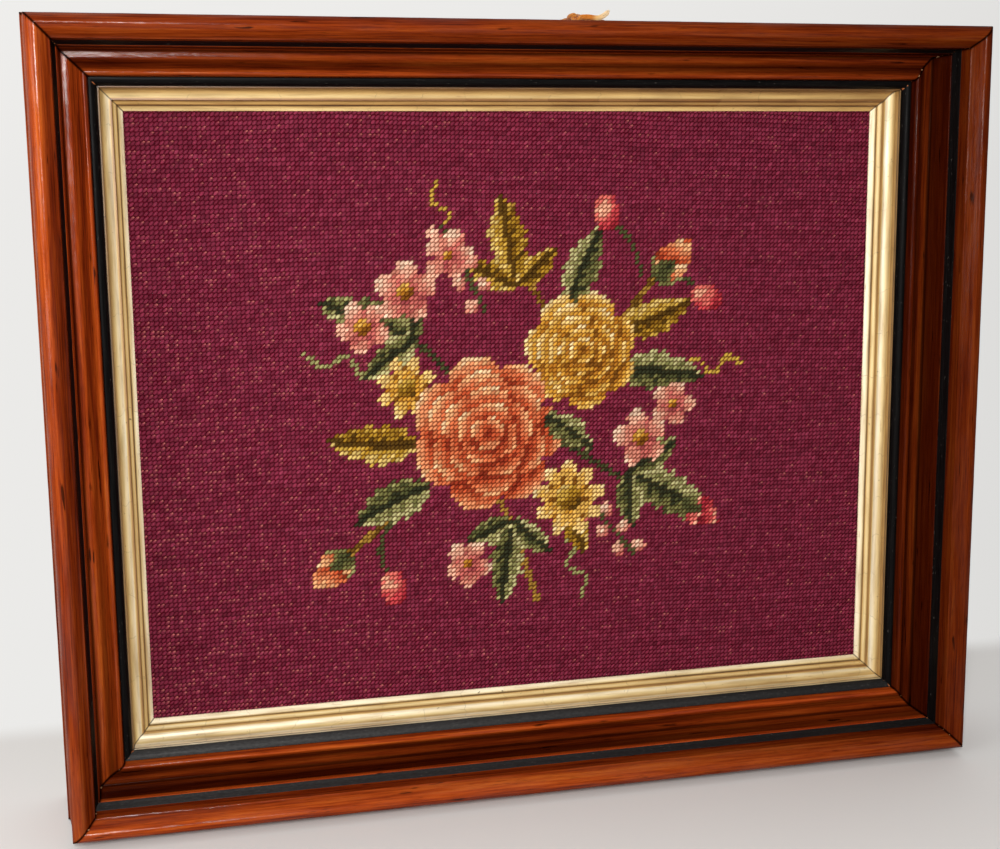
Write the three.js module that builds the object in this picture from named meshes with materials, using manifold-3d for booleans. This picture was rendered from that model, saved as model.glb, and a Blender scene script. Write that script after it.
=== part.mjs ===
// A piece of needlework in a deep, stepped walnut frame that hangs on a wall.
// Millimetres, +X right, +Y to the wall, +Z up. The origin lies on the rear face of the top
// member, at the middle of its length and of its width.
// Sections are drawn in two sizes: reach, outward from the sight edge of the gilt liner, and
// height, from the face of the cloth towards the viewer. The back has heights below zero.
import * as THREE from "three";
import { mergeVertices } from "three/addons/utils/BufferGeometryUtils.js";
import Module from "manifold-3d";

const wasm = await Module();
wasm.setup();

// Driving dimensions
const sightWidth = 444.5;
const sightHeight = 346.5;
const fitGap = 0.3;
const clothThickness = 1.6;
const strainerThickness = 7;
const strainerWidth = 26;
const boardThickness = 3;
const recessDepth = 9;

// Gilt liner
const linerWidth = 16.9;
const linerLipHeight = 1.1;
const linerRidgeHeight = 16.2;
const linerRidgeWidth = 0.6;
const linerRidgeReach = 12.25;
const linerShoulderDrop = 0.8;
const linerStepHeight = 0.9;
const linerCoveHeight = 7.2;

// Inner fillet, the black band next to the gilt
const innerFilletHeight = 20.2;
const innerFilletFlat = 1.5;
const innerFilletEdge = 0.9;

// Inner moulding
const innerWidth = 19.5;
const innerHeight = 40.1;
const wallThickness = 5.5;
const wallFillet = 2.2;
const floorHeight = 19.1;
const floorRise = 0.5;
const smallBeadWidth = 4.9;
const smallBeadHeight = 5.1;
const smallBeadRamp = 3.2;
const arrisRadius = 0.5;

// Outer fillet, the black band under the nose
const outerFilletHeight = 7;
const outerFilletThickness = 3.4;
const outerFilletSlant = 0.7;
const outerFilletFoot = 1.2;

// Outer moulding
const outerWidth = 12.9;
const lipThickness = 3.8;
const lipHeight = 10.3;
const noseWidth = 12.3;
const noseHeight = 6.7;
const flangeDepth = 37.7;
const flangeStep = 0.9;
const flangeRound = 1.2;

// Turn buttons and their screws
const buttonLength = 26;
const buttonWidth = 9;
const buttonThickness = 1.5;
const buttonEndGap = 0.5;
const buttonSpacingShare = 0.54;
const screwShankRadius = 1.6;
const screwHeadRadius = 3.4;
const screwHeadHeight = 1.7;
const screwDepth = 10;

// Screw eyes
const eyeRingRadius = 3.3;
const eyeWireRadius = 0.8;
const eyeShankRadius = 1.1;
const eyeShankDepth = 9;
const eyeOffset = 7.25;
const eyeDrop = 146;

// Hanging cord
const cordRadius = 1.5;
const knotWidth = 8.6;
const knotDepth = 8;
const knotHeight = 7.3;
const knotX = 37.7;
const knotInset = 9;
const stopKnotWidth = 8.2;
const stopKnotHeight = 7;

// Facets
const curveSteps = 5;
const roundSides = 12;
const cordSides = 8;
const leftCordSteps = 60;
const rightCordSteps = 54;
const tailSteps = 10;
const cutOverrun = 1;

// Levels of the stack behind the cloth, counted down from its face
const strainerFront = -clothThickness - fitGap;
const strainerBack = strainerFront - strainerThickness;
const boardFront = strainerBack - fitGap;
const boardBack = boardFront - boardThickness;
const rearHeight = boardBack - recessDepth;

// Reaches of the seats, counted outward from the sight edge
const rebateReach = linerWidth + fitGap;
const innerReach = rebateReach + innerWidth;
const wallReach = innerReach - wallThickness;
const outerSeatReach = innerReach + fitGap;
const flangeReach = outerSeatReach + outerWidth;
const rearEdgeReach = (outerSeatReach + flangeReach) / 2;
const buttonReach = outerSeatReach - buttonEndGap - buttonLength / 2;

// Levels of the black band and the nose, counted up from the inner moulding
const outerFilletBase = innerHeight + fitGap;
const lipBase = outerFilletBase + outerFilletHeight + fitGap;
const lipTop = lipBase + lipHeight;
const lipReach = outerSeatReach - lipThickness;
const noseReach = lipReach + noseWidth;
const flangeFront = rearHeight + flangeDepth;

const walnut = new THREE.MeshStandardMaterial({ color: 0x7a3214, roughness: 0.3 });
const ebonized = new THREE.MeshStandardMaterial({ color: 0x14110f, roughness: 0.4 });
const gilt = new THREE.MeshStandardMaterial({ color: 0xd1b274, roughness: 0.4, metalness: 0.6 });
const wool = new THREE.MeshStandardMaterial({ color: 0x6e1c36, roughness: 0.95 });
const pine = new THREE.MeshStandardMaterial({ color: 0xc49a66, roughness: 0.8 });
const brass = new THREE.MeshStandardMaterial({ color: 0xb08a45, roughness: 0.4, metalness: 1 });
const steel = new THREE.MeshStandardMaterial({ color: 0x8d8d8a, roughness: 0.4, metalness: 1 });
const cotton = new THREE.MeshStandardMaterial({ color: 0xc8791f, roughness: 0.9 });
const frayed = new THREE.MeshStandardMaterial({ color: 0xe0bf8e, roughness: 0.9 });

// A closed section through points of reach and height. Each entry is a point, or a list of
// points that a smooth curve passes through from the point before it.
function section(entries) {
  const shape = new THREE.Shape();
  entries.forEach((entry, i) => {
    if (i === 0) shape.moveTo(...entry);
    else if (Array.isArray(entry[0])) shape.splineThru(entry.map(([a, b]) => new THREE.Vector2(a, b)));
    else shape.lineTo(...entry);
  });
  const points = shape.getPoints(curveSteps);
  return points.filter((point, i) => i === 0 || point.distanceTo(points[i - 1]) > 0);
}

// Points of a curve that runs from one corner of a box to the other, by shares of its width
// and height.
function curveBetween(from, to, shares) {
  return shares.map(([a, b]) => [from[0] + (to[0] - from[0]) * a, from[1] + (to[1] - from[1]) * b]);
}

// A length of moulding with mitred ends: the section at each end slides out with its reach.
function mitredLength(points, run) {
  const contour = THREE.ShapeUtils.area(points) < 0 ? [...points].reverse() : points;
  const back = fitGap * Math.SQRT1_2;
  const count = contour.length;
  const positions = [];
  for (const end of [1, -1])
    for (const point of contour) positions.push(end * (run / 2 + point.x - back), -point.y, point.x);
  const index = [];
  for (let i = 0; i < count; i += 1) {
    const next = (i + 1) % count;
    index.push(i, count + i, count + next, i, count + next, next);
  }
  for (const [a, b, c] of THREE.ShapeUtils.triangulateShape(contour, []))
    index.push(a, b, c, count + c, count + b, count + a);
  const geometry = new THREE.BufferGeometry();
  geometry.setAttribute("position", new THREE.Float32BufferAttribute(positions, 3));
  geometry.setIndex(index);
  return geometry;
}

// A closed geometry as a manifold solid, and back.
function solidOf(geometry) {
  const bare = geometry.clone();
  bare.deleteAttribute("normal");
  bare.deleteAttribute("uv");
  const merged = mergeVertices(bare);
  const vertProperties = new Float32Array(merged.attributes.position.array);
  const triVerts = new Uint32Array(merged.index.array);
  return new wasm.Manifold(new wasm.Mesh({ numProp: 3, vertProperties, triVerts }));
}

function geometryOf(solid) {
  const mesh = solid.getMesh();
  const geometry = new THREE.BufferGeometry();
  geometry.setAttribute("position", new THREE.Float32BufferAttribute(mesh.vertProperties, 3));
  geometry.setIndex(Array.from(mesh.triVerts));
  return geometry;
}

function cut(geometry, tools) {
  return geometryOf(tools.reduce((solid, tool) => solid.subtract(solidOf(tool)), solidOf(geometry)));
}

// A mesh with flat faces, so that each facet of the solid shows as it is.
function named(name, geometry, material) {
  const faceted = geometry.index ? geometry.toNonIndexed() : geometry;
  faceted.computeVertexNormals();
  const mesh = new THREE.Mesh(faceted, material);
  mesh.name = name;
  return mesh;
}

// The four sides. A side's own frame has X along it, Y to the wall and Z outward, so that Z is
// the reach and -Y the height.
const sides = [
  { name: "top", run: sightWidth, turn: 0, shift: [0, 0, sightHeight / 2] },
  { name: "right", run: sightHeight, turn: Math.PI / 2, shift: [sightWidth / 2, 0, 0] },
  { name: "bottom", run: sightWidth, turn: Math.PI, shift: [0, 0, -sightHeight / 2] },
  { name: "left", run: sightHeight, turn: -Math.PI / 2, shift: [-sightWidth / 2, 0, 0] },
];

// Gilt liner: a sloping sight edge, two small steps, a cove and an outer ridge.
function linerSection() {
  const coveReach = linerRidgeReach - linerRidgeWidth;
  const stepReachShares = [0.25, 0.27, 0.45, 0.48];
  const reach = stepReachShares.map((share) => share * coveReach);
  const rise = (linerCoveHeight - linerLipHeight - 2 * linerStepHeight) / 2;
  const firstStep = linerLipHeight + rise;
  const secondStep = firstStep + linerStepHeight + rise;
  const coveTop = (linerCoveHeight + linerRidgeHeight) / 2;
  const shoulder = linerRidgeHeight - linerShoulderDrop;
  const coveShares = [
    [0.3, 0.03],
    [0.65, 0.25],
    [0.9, 0.6],
    [1, 1],
  ];
  return section([
    [0, fitGap],
    [linerWidth, fitGap],
    [linerWidth, shoulder],
    [linerRidgeReach, shoulder],
    [linerRidgeReach, linerRidgeHeight],
    [coveReach, linerRidgeHeight],
    [coveReach, coveTop],
    curveBetween([reach[3], linerCoveHeight], [coveReach, coveTop], coveShares).reverse().slice(1),
    [reach[3], linerCoveHeight],
    [reach[2], secondStep],
    [reach[1], firstStep + linerStepHeight],
    [reach[0], firstStep],
    [0, linerLipHeight],
  ]);
}

// Inner fillet: a flat top beside the small bead, then a slope down to the gilt.
function innerFilletSection() {
  const base = linerRidgeHeight - linerShoulderDrop + fitGap;
  const inner = linerRidgeReach + fitGap;
  const slopeShares = [
    [0.45, 0.16],
    [0.85, 0.62],
    [1, 1],
  ];
  const slopeTop = [linerWidth - innerFilletFlat, innerFilletHeight];
  return section([
    [inner, base],
    [linerWidth, base],
    [linerWidth, innerFilletHeight],
    slopeTop,
    curveBetween(slopeTop, [inner, base + innerFilletEdge], slopeShares),
  ]);
}

// Inner moulding: an upright wall, a low floor that rises a little inwards, and the small bead.
function innerSection() {
  const beadOuter = rebateReach + smallBeadWidth;
  const rampFoot = [beadOuter + smallBeadRamp, floorHeight + floorRise];
  const beadTop = [rebateReach, innerFilletHeight + smallBeadHeight];
  const beadShoulder = [beadOuter, floorHeight + (beadTop[1] - floorHeight) / 2];
  const filletShares = [
    [0.07, 0.62],
    [0.38, 0.93],
    [1, 1],
  ];
  const floorShares = [
    [0.35, 0.03],
    [0.7, 0.35],
    [1, 1],
  ];
  const beadShares = [
    [0.28, 0.62],
    [0.62, 1],
    [0.88, 0.72],
    [1, -0.65],
  ];
  const wallFoot = [wallReach, floorHeight + wallFillet];
  const floorOuter = [wallReach - wallFillet, floorHeight];
  return section([
    [rebateReach, boardBack],
    [innerReach, boardBack],
    [innerReach, innerHeight],
    [wallReach + arrisRadius, innerHeight],
    [wallReach, innerHeight - arrisRadius],
    wallFoot,
    curveBetween(wallFoot, floorOuter, filletShares),
    curveBetween(floorOuter, rampFoot, floorShares),
    beadShoulder,
    curveBetween(beadShoulder, beadTop, beadShares),
  ]);
}

// Outer fillet: an upright black band with a small sloping foot.
function outerFilletSection() {
  const top = outerFilletBase + outerFilletHeight;
  const face = innerReach - outerFilletThickness;
  return section([
    [face - outerFilletSlant - outerFilletFoot, outerFilletBase],
    [innerReach, outerFilletBase],
    [innerReach, top],
    [face, top],
    [face - outerFilletSlant, outerFilletBase + outerFilletFoot * 2],
  ]);
}

// Outer moulding: a flange at the wall, a flaring side, the rounded nose and its lip.
function outerSection() {
  const flareFoot = [flangeReach - flangeStep, flangeFront + flangeStep];
  const noseFoot = [noseReach, lipTop - flangeStep];
  const flareShares = [
    [0.36, 0.25],
    [0.66, 0.55],
    [0.88, 0.85],
    [1, 1],
  ];
  const noseShares = [
    [0.02, 0.4],
    [0.16, 0.8],
    [0.33, 0.98],
    [0.47, 1],
    [0.62, 0.84],
    [0.8, 0.47],
    [0.92, 0.22],
    [1, 0.13],
  ];
  return section([
    [outerSeatReach, rearHeight],
    [flangeReach, rearHeight],
    [flangeReach, flangeFront - flangeRound],
    [flangeReach - flangeRound / 2, flangeFront],
    flareFoot,
    curveBetween(flareFoot, noseFoot, flareShares),
    curveBetween(noseFoot, [lipReach, lipTop + noseHeight], noseShares),
    [lipReach, lipBase],
    [outerSeatReach, lipBase],
  ]);
}

// Strainer bars, behind the canvas and flush with the liner's outer edge.
function strainerSection() {
  const inner = linerWidth - strainerWidth;
  return section([
    [inner, strainerBack],
    [linerWidth, strainerBack],
    [linerWidth, strainerFront],
    [inner, strainerFront],
  ]);
}

// A slab that fills the rebate behind the liner, from one height to another.
function rebateSlab(low, high) {
  const width = sightWidth + 2 * linerWidth;
  const height = sightHeight + 2 * linerWidth;
  const slab = new THREE.BoxGeometry(width, high - low, height);
  slab.translate(0, -(high + low) / 2, 0);
  return slab;
}

// A cylinder along Y in a side's own frame, between two heights.
function pin(radius, low, high, x, reach) {
  const cylinder = new THREE.CylinderGeometry(radius, radius, high - low, roundSides);
  cylinder.translate(x, -(high + low) / 2, reach);
  return cylinder;
}

// Turn button: a flat double-ended plate with round ends and a hole for its screw.
function buttonGeometry() {
  const round = buttonWidth / 2;
  const straight = buttonLength / 2 - round;
  const plate = new THREE.Shape();
  plate.absarc(0, straight, round, 0, Math.PI);
  plate.absarc(0, -straight, round, Math.PI, 2 * Math.PI);
  const hole = new THREE.Path();
  hole.absarc(0, 0, screwShankRadius + fitGap, 0, 2 * Math.PI);
  plate.holes.push(hole);
  const options = { depth: buttonThickness, bevelEnabled: false, curveSegments: roundSides / 2 };
  const geometry = new THREE.ExtrudeGeometry(plate, options);
  return geometry.rotateX(-Math.PI / 2);
}

// Screw: a domed head over the button and a shank that goes through it into the moulding.
function screwGeometry() {
  const domeShares = [
    [1, 0],
    [0.9, 0.5],
    [0.55, 0.9],
    [0, 1],
  ];
  const headBase = fitGap * 2 + buttonThickness;
  const outline = [
    new THREE.Vector2(0, -screwDepth),
    new THREE.Vector2(screwShankRadius, screwShankRadius - screwDepth),
    new THREE.Vector2(screwShankRadius, headBase),
  ];
  for (const [a, b] of domeShares)
    outline.push(new THREE.Vector2(a * screwHeadRadius, headBase + b * screwHeadHeight));
  return new THREE.LatheGeometry(outline, roundSides);
}

// Places of the turn buttons along each side.
const longPlaces = [-sightWidth * buttonSpacingShare / 2, sightWidth * buttonSpacingShare / 2];
const buttonPlaces = { top: longPlaces, bottom: longPlaces, left: [0], right: [0] };
const screwHole = screwShankRadius + fitGap;

// Screw eye: a wire ring whose hole faces up and down, on a shank that points outward.
function eyeGeometry() {
  const ring = new THREE.TorusGeometry(eyeRingRadius, eyeWireRadius, cordSides, roundSides);
  const shankLength = eyeOffset - eyeRingRadius + eyeShankDepth;
  const shank = new THREE.CylinderGeometry(eyeShankRadius, eyeShankRadius, shankLength, cordSides);
  shank.rotateZ(Math.PI / 2);
  shank.translate(eyeRingRadius + shankLength / 2, 0, 0);
  return geometryOf(solidOf(ring).add(solidOf(shank)));
}

// Everything is built round the middle of the cloth's face and then moved to the origin.
const frameTop = sightHeight / 2 + rearEdgeReach;
const clothFrame = new THREE.Group();
clothFrame.position.set(0, rearHeight, -frameTop);

const sections = [
  ["outer_moulding", outerSection(), walnut],
  ["outer_fillet", outerFilletSection(), ebonized],
  ["inner_moulding", innerSection(), walnut],
  ["inner_fillet", innerFilletSection(), ebonized],
  ["gilt_liner", linerSection(), gilt],
  ["strainer", strainerSection(), pine],
];

// Holes that a side's lengths are drilled with: turn button screws, and a screw eye's shank.
function drilled(piece, side) {
  const top = boardBack + screwDepth + fitGap;
  if (piece === "inner_moulding")
    return buttonPlaces[side.name].map((x) => pin(screwHole, boardBack - cutOverrun, top, x, buttonReach));
  const isUpright = side.turn % Math.PI !== 0;
  if (piece !== "outer_moulding" || !isUpright) return [];
  const length = eyeShankDepth + fitGap + cutOverrun;
  const radius = eyeShankRadius + fitGap;
  const bore = new THREE.CylinderGeometry(radius, radius, length, cordSides);
  bore.rotateX(Math.PI / 2);
  const along = Math.sign(side.turn) * (eyeDrop - frameTop);
  bore.translate(along, -(rearHeight + recessDepth / 2), outerSeatReach - cutOverrun + length / 2);
  return [bore];
}

let buttonCount = 0;
for (const side of sides) {
  const member = new THREE.Group();
  member.position.set(...side.shift);
  member.rotation.y = side.turn;
  clothFrame.add(member);
  for (const [piece, points, material] of sections) {
    const holes = drilled(piece, side);
    const length = mitredLength(points, side.run);
    const shape = holes.length > 0 ? cut(length, holes) : length;
    member.add(named(`${piece}_${side.name}`, shape, material));
  }
  for (const x of buttonPlaces[side.name]) {
    buttonCount += 1;
    const button = named(`turn_button_${buttonCount}`, buttonGeometry(), brass);
    button.position.set(x, -boardBack + fitGap, buttonReach);
    const screw = named(`turn_button_screw_${buttonCount}`, screwGeometry(), steel);
    screw.position.set(x, -boardBack, buttonReach);
    member.add(button, screw);
  }
}

clothFrame.add(named("needlework", rebateSlab(-clothThickness, 0), wool));
clothFrame.add(named("backing_board", rebateSlab(boardBack, boardFront), pine));

// The eyes, in the recess at the back, screwed into the upright members from inside.
const eyeX = sightWidth / 2 + outerSeatReach - eyeOffset;
const eyeY = -recessDepth / 2;
for (const [name, hand] of [["left", -1], ["right", 1]]) {
  const eye = named(`screw_eye_${name}`, eyeGeometry(), brass);
  eye.position.set(hand * eyeX, -rearHeight + eyeY, frameTop - eyeDrop);
  eye.rotation.z = hand < 0 ? Math.PI : 0;
  clothFrame.add(eye);
}

const shadowBox = new THREE.Group();
shadowBox.add(clothFrame);

// Route of each half of the hanging cord, from its stopper knot up through the eye, over the
// back edge of the top member and along its top to the knot.
const leftRoute = [
  [-252, -4.5, -146.7], [-251.4, -4.5, -143], [-247.6, -4.4, -138.2], [-240, -4.2, -133.6],
  [-215, -3.7, -121.5], [-185, -3, -107.5], [-150, -2.2, -90], [-115, -1.3, -71.5],
  [-80, -0.4, -52.5], [-48, 0.6, -36], [-20, 1.5, -21], [0, 2, -9.6],
  [10, 2.2, -2.6], [18.5, 2.3, 4.8], [23.3, 1.1, 8.1], [27, -2, 8.7],
  [30, -5.6, 8.6], [33, -8.4, 9.3],
];
const rightRoute = [
  [252, -4.5, -146.7], [251.4, -4.5, -143], [247.6, -4.4, -138], [241, -4.1, -132.7],
  [222, -3.5, -118.5], [200, -2.8, -102], [175, -1.9, -82.5], [150, -1, -62.5],
  [125, 0, -42.5], [105, 0.9, -26.5], [90, 1.6, -14.5], [80, 2.1, -6.5],
  [72.5, 2.3, -0.4], [65.5, 2.3, 5.4], [59.5, 0.7, 9.1], [54, -3, 9.5],
  [49.5, -5.8, 9.3], [45.5, -7.6, 9.3], [42.4, -8.5, 9.5],
];
const tailRoute = [
  [42, -11.6, 11.2], [44, -12.1, 11.3], [46.2, -12.4, 11.1], [48.6, -12.5, 10.7],
  [51, -12.6, 10.6], [53.6, -12.6, 11.4], [56.2, -12.6, 13.2], [58.4, -12.5, 15.6],
];

// A cord's stretch: a round section carried along a smooth curve through its points.
function cordGeometry(route, steps) {
  const curve = new THREE.CatmullRomCurve3(route.map((point) => new THREE.Vector3(...point)));
  const round = new THREE.Shape();
  round.absarc(0, 0, cordRadius, 0, 2 * Math.PI);
  const options = { steps, extrudePath: curve, curveSegments: cordSides / 2 };
  return new THREE.ExtrudeGeometry(round, options);
}

// A knot: a ball drawn out to its width, depth and height.
function knotGeometry(width, depth, height) {
  const ball = new THREE.SphereGeometry(1 / 2, roundSides, cordSides);
  return ball.scale(width, depth, height);
}

const topFace = flangeReach - rearEdgeReach;
const knot = named("cord_knot", knotGeometry(knotWidth, knotDepth, knotHeight), cotton);
knot.position.set(knotX, -knotInset, topFace + fitGap + knotHeight / 2);
shadowBox.add(knot);
for (const [name, hand] of [["left", -1], ["right", 1]]) {
  const shape = knotGeometry(stopKnotWidth, stopKnotWidth - fitGap, stopKnotHeight);
  const stop = named(`cord_stop_${name}`, shape, cotton);
  stop.position.set(hand * eyeX, eyeY, -eyeDrop - eyeWireRadius - fitGap - stopKnotHeight / 2);
  shadowBox.add(stop);
}
shadowBox.add(named("hanging_cord_left", cordGeometry(leftRoute, leftCordSteps), cotton));
shadowBox.add(named("hanging_cord_right", cordGeometry(rightRoute, rightCordSteps), cotton));
shadowBox.add(named("cord_tail", cordGeometry(tailRoute, tailSteps), frayed));

export default shadowBox;
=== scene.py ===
"""A panel of wool needlework in a deep, stepped walnut frame, with its back and hanging cord."""

import math

import bpy
import numpy as np
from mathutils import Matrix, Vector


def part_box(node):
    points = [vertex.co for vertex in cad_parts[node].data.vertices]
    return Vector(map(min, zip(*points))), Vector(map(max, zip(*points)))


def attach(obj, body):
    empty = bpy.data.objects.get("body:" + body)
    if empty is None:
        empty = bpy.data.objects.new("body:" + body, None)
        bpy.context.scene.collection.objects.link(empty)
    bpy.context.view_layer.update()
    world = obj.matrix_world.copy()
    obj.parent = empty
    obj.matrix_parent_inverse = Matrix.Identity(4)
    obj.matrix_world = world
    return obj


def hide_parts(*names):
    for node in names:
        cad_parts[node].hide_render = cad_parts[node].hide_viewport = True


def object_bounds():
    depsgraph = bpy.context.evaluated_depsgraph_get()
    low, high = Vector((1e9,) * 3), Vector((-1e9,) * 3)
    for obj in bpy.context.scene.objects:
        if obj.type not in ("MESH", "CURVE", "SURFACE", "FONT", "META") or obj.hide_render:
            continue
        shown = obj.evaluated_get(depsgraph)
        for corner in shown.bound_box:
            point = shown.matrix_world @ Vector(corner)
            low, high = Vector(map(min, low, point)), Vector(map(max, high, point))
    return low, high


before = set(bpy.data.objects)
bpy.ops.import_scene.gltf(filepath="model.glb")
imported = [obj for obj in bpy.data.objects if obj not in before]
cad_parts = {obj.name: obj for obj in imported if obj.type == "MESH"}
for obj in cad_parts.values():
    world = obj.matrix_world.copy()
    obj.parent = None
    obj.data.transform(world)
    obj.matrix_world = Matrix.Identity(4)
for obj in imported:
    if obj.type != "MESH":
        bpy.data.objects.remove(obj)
cad_low, cad_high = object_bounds()

# The view. The frame is seen from the left of its middle and a little above it, from under a
# metre away, through a lens of 53 mm on a sensor 36 mm wide.
camera_place = (-0.21544, -0.86917, -0.08224)
camera_turn_degrees = (80.5874, 0.5996, -13.5412)
camera = bpy.data.objects.new("camera", bpy.data.cameras.new("camera"))
camera.location = camera_place
camera.rotation_euler = np.radians(camera_turn_degrees)
camera.data.lens = 53.25
camera.data.sensor_width = 36
camera.data.clip_start = 0.01
bpy.context.scene.collection.objects.link(camera)
bpy.context.scene.camera = camera
bpy.context.scene.view_settings.view_transform = "Standard"

# Hanging cord. Golden-orange cotton of three strands, 3 mm thick, in two halves: each is held
# by a stopper knot under its screw eye, runs up behind the frame and over its top edge, and
# both are tied together there. The short end past the knot has frayed to a pale brush.
mm = 0.001
cord_radius = 1.5 * mm
cord_lay = 8.5 * mm
groove_share = 0.2
strand_count = 3
cord_step = 0.55 * mm
cord_around = 18
knot_points = 150
knot_around = 14
knot_strand_radii = {"cord_knot": 1.42 * mm, "cord_stop_left": 1.35 * mm, "cord_stop_right": 1.35 * mm}
routes = {
    "left": [
        (-0.252, -0.0045, -0.1467), (-0.2514, -0.0045, -0.143), (-0.2476, -0.0044, -0.1382),
        (-0.24, -0.0042, -0.1336), (-0.215, -0.0037, -0.1215), (-0.185, -0.003, -0.1075),
        (-0.15, -0.0022, -0.09), (-0.115, -0.0013, -0.0715), (-0.08, -0.0004, -0.0525),
        (-0.048, 0.0006, -0.036), (-0.02, 0.0015, -0.021), (0, 0.002, -0.0096),
        (0.01, 0.0022, -0.0026), (0.0185, 0.0023, 0.0048), (0.0233, 0.0011, 0.0081),
        (0.027, -0.002, 0.0087), (0.03, -0.0056, 0.0086), (0.033, -0.0084, 0.0093),
    ],
    "right": [
        (0.252, -0.0045, -0.1467), (0.2514, -0.0045, -0.143), (0.2476, -0.0044, -0.138),
        (0.241, -0.0041, -0.1327), (0.222, -0.0035, -0.1185), (0.2, -0.0028, -0.102),
        (0.175, -0.0019, -0.0825), (0.15, -0.001, -0.0625), (0.125, 0, -0.0425),
        (0.105, 0.0009, -0.0265), (0.09, 0.0016, -0.0145), (0.08, 0.0021, -0.0065),
        (0.0725, 0.0023, -0.0004), (0.0655, 0.0023, 0.0054), (0.0595, 0.0007, 0.0091),
        (0.054, -0.003, 0.0095), (0.0495, -0.0058, 0.0093), (0.0455, -0.0076, 0.0093),
        (0.0424, -0.0085, 0.0095),
    ],
}
tail_route = [
    (0.042, -0.0116, 0.0112), (0.044, -0.0121, 0.0113), (0.0462, -0.0124, 0.0111),
    (0.0486, -0.0125, 0.0107), (0.051, -0.0126, 0.0106), (0.0536, -0.0126, 0.0114),
    (0.0562, -0.0126, 0.0132), (0.0584, -0.0125, 0.0156),
]
behind_it = (0, 1, 0)
kinds_of_share = {1: ("FLOAT", "value"), 3: ("FLOAT_VECTOR", "vector"), 4: ("FLOAT_COLOR", "color")}


def smooth_line(points, steps):
    """Points on a smooth line through the given ones: each stretch is a cubic whose slopes follow
    its neighbours, weighed by the square roots of their distances."""
    p = np.array(points, float)
    p = np.vstack([2 * p[0] - p[1], p, 2 * p[-1] - p[-2]])
    span = np.sqrt(np.linalg.norm(np.diff(p, axis=0), axis=1))[:, None]
    a, b, c = span[:-2], span[1:-1], span[2:]
    p0, p1, p2, p3 = p[:-3], p[1:-2], p[2:-1], p[3:]
    leave = ((p1 - p0) / a - (p2 - p0) / (a + b) + (p2 - p1) / b) * b
    arrive = ((p2 - p1) / b - (p3 - p1) / (b + c) + (p3 - p2) / c) * b
    t = np.linspace(0, 1, steps, endpoint=False)[:, None, None]
    square = 3 * (p2 - p1) - 2 * leave - arrive
    cube = 2 * (p1 - p2) + leave + arrive
    line = p1 + leave * t + square * t**2 + cube * t**3
    return np.vstack([line.transpose(1, 0, 2).reshape(-1, p.shape[1]), p[-2]])


def lengths_along(line):
    """The distance along a line of each of its points."""
    return np.concatenate([[0], np.linalg.norm(np.diff(line, axis=0), axis=1).cumsum()])


def evenly(line, step):
    """The same line with its points a step apart."""
    run = lengths_along(line)
    places = np.linspace(0, run[-1], round(run[-1] / step) + 1)
    return np.column_stack([np.interp(places, run, column) for column in line.T])


def unit(vectors):
    """Vectors drawn to length one."""
    return vectors / np.linalg.norm(vectors, axis=-1, keepdims=True)


def even_angles(count):
    """Angles an even step apart, once round."""
    return np.linspace(0, 2 * math.pi, count, endpoint=False)


def sides_of(line, reference, ring=False):
    """Two directions at each point of a line, square to the line and to each other."""
    ahead = unit(np.roll(line, -1, 0) - np.roll(line, 1, 0) if ring else np.gradient(line, axis=-2))
    side = unit(np.cross(ahead, reference))
    return side, np.cross(side, ahead)


def away_from(line, angle, reference, ring=False):
    """The direction at each angle round each point of a line: cosine times one side of the line
    plus sine times the other."""
    side, up = sides_of(line, reference, ring)
    return np.cos(angle)[:, None] * side[..., None, :] + np.sin(angle)[:, None] * up[..., None, :]


def twisted(line, radius, lay, around, reference, ring=False):
    """A cord of three strands along a line. Round each point of the line the radius falls by the
    groove's share where two strands meet, and the strands turn once in each lay."""
    angle = even_angles(around)
    turn = angle - 2 * math.pi * lengths_along(line)[:, None] / lay
    crest = np.abs(np.cos(strand_count / 2 * turn))
    out = radius * (1 - groove_share * (1 - crest))
    return line[:, None] + out[..., None] * away_from(line, angle, reference, ring), crest


def rings_joined(count, around, ring=False):
    """Corner numbers of the faces between rings of points, and of the two end faces."""
    i = np.arange(count if ring else count - 1)[:, None]
    j = np.arange(around)[None, :]
    after, beside = (i + 1) % count, (j + 1) % around
    corners = [i * around + j, i * around + beside, after * around + beside, after * around + j]
    sides = np.stack(corners, -1).reshape(-1, 4)
    if ring:
        return [sides]
    first = np.arange(around)[None, ::-1]
    return [sides, first, first[:, ::-1] + (count - 1) * around]


def repeated(faces, count, points_each):
    """The same faces for each of many shapes, whose points follow one another."""
    base = points_each * np.arange(count)[:, None, None]
    return [(face + base).reshape(-1, face.shape[1]) for face in faces]


def outward(places, faces):
    """The faces of a closed shape, turned round if the volume inside them is below zero."""
    volume = 0
    for face in faces:
        p = places[face]
        for i in range(1, face.shape[1] - 1):
            volume += np.einsum("ij,ij", p[:, 0], np.cross(p[:, i], p[:, i + 1]))
    return [face[:, ::-1] for face in faces] if volume < 0 else faces


def made_piece(name, solid, body, slot, material, places, faces, shares=None, sharp_degrees=40):
    """A smooth piece from points and arrays of corner numbers, which stands for a solid and rides
    on a body. shares holds named numbers, vectors or colours, one for each point."""
    places = places.reshape(-1, 3)
    corners = [corner for face in outward(places, faces) for corner in face.tolist()]
    mesh = bpy.data.meshes.new(name)
    mesh.from_pydata(places.tolist(), [], corners)
    mesh.shade_smooth()
    mesh.set_sharp_from_angle(angle=math.radians(sharp_degrees))
    mesh.materials.append(material)
    for key, values in (shares or {}).items():
        kind, field = kinds_of_share[values.size // len(places)]
        layer = mesh.attributes.new(key, kind, "POINT")
        layer.data.foreach_set(field, values.astype(np.float32).ravel())
    piece = bpy.data.objects.new(name, mesh)
    bpy.context.scene.collection.objects.link(piece)
    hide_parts(solid)
    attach(piece, body)
    return piece


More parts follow.
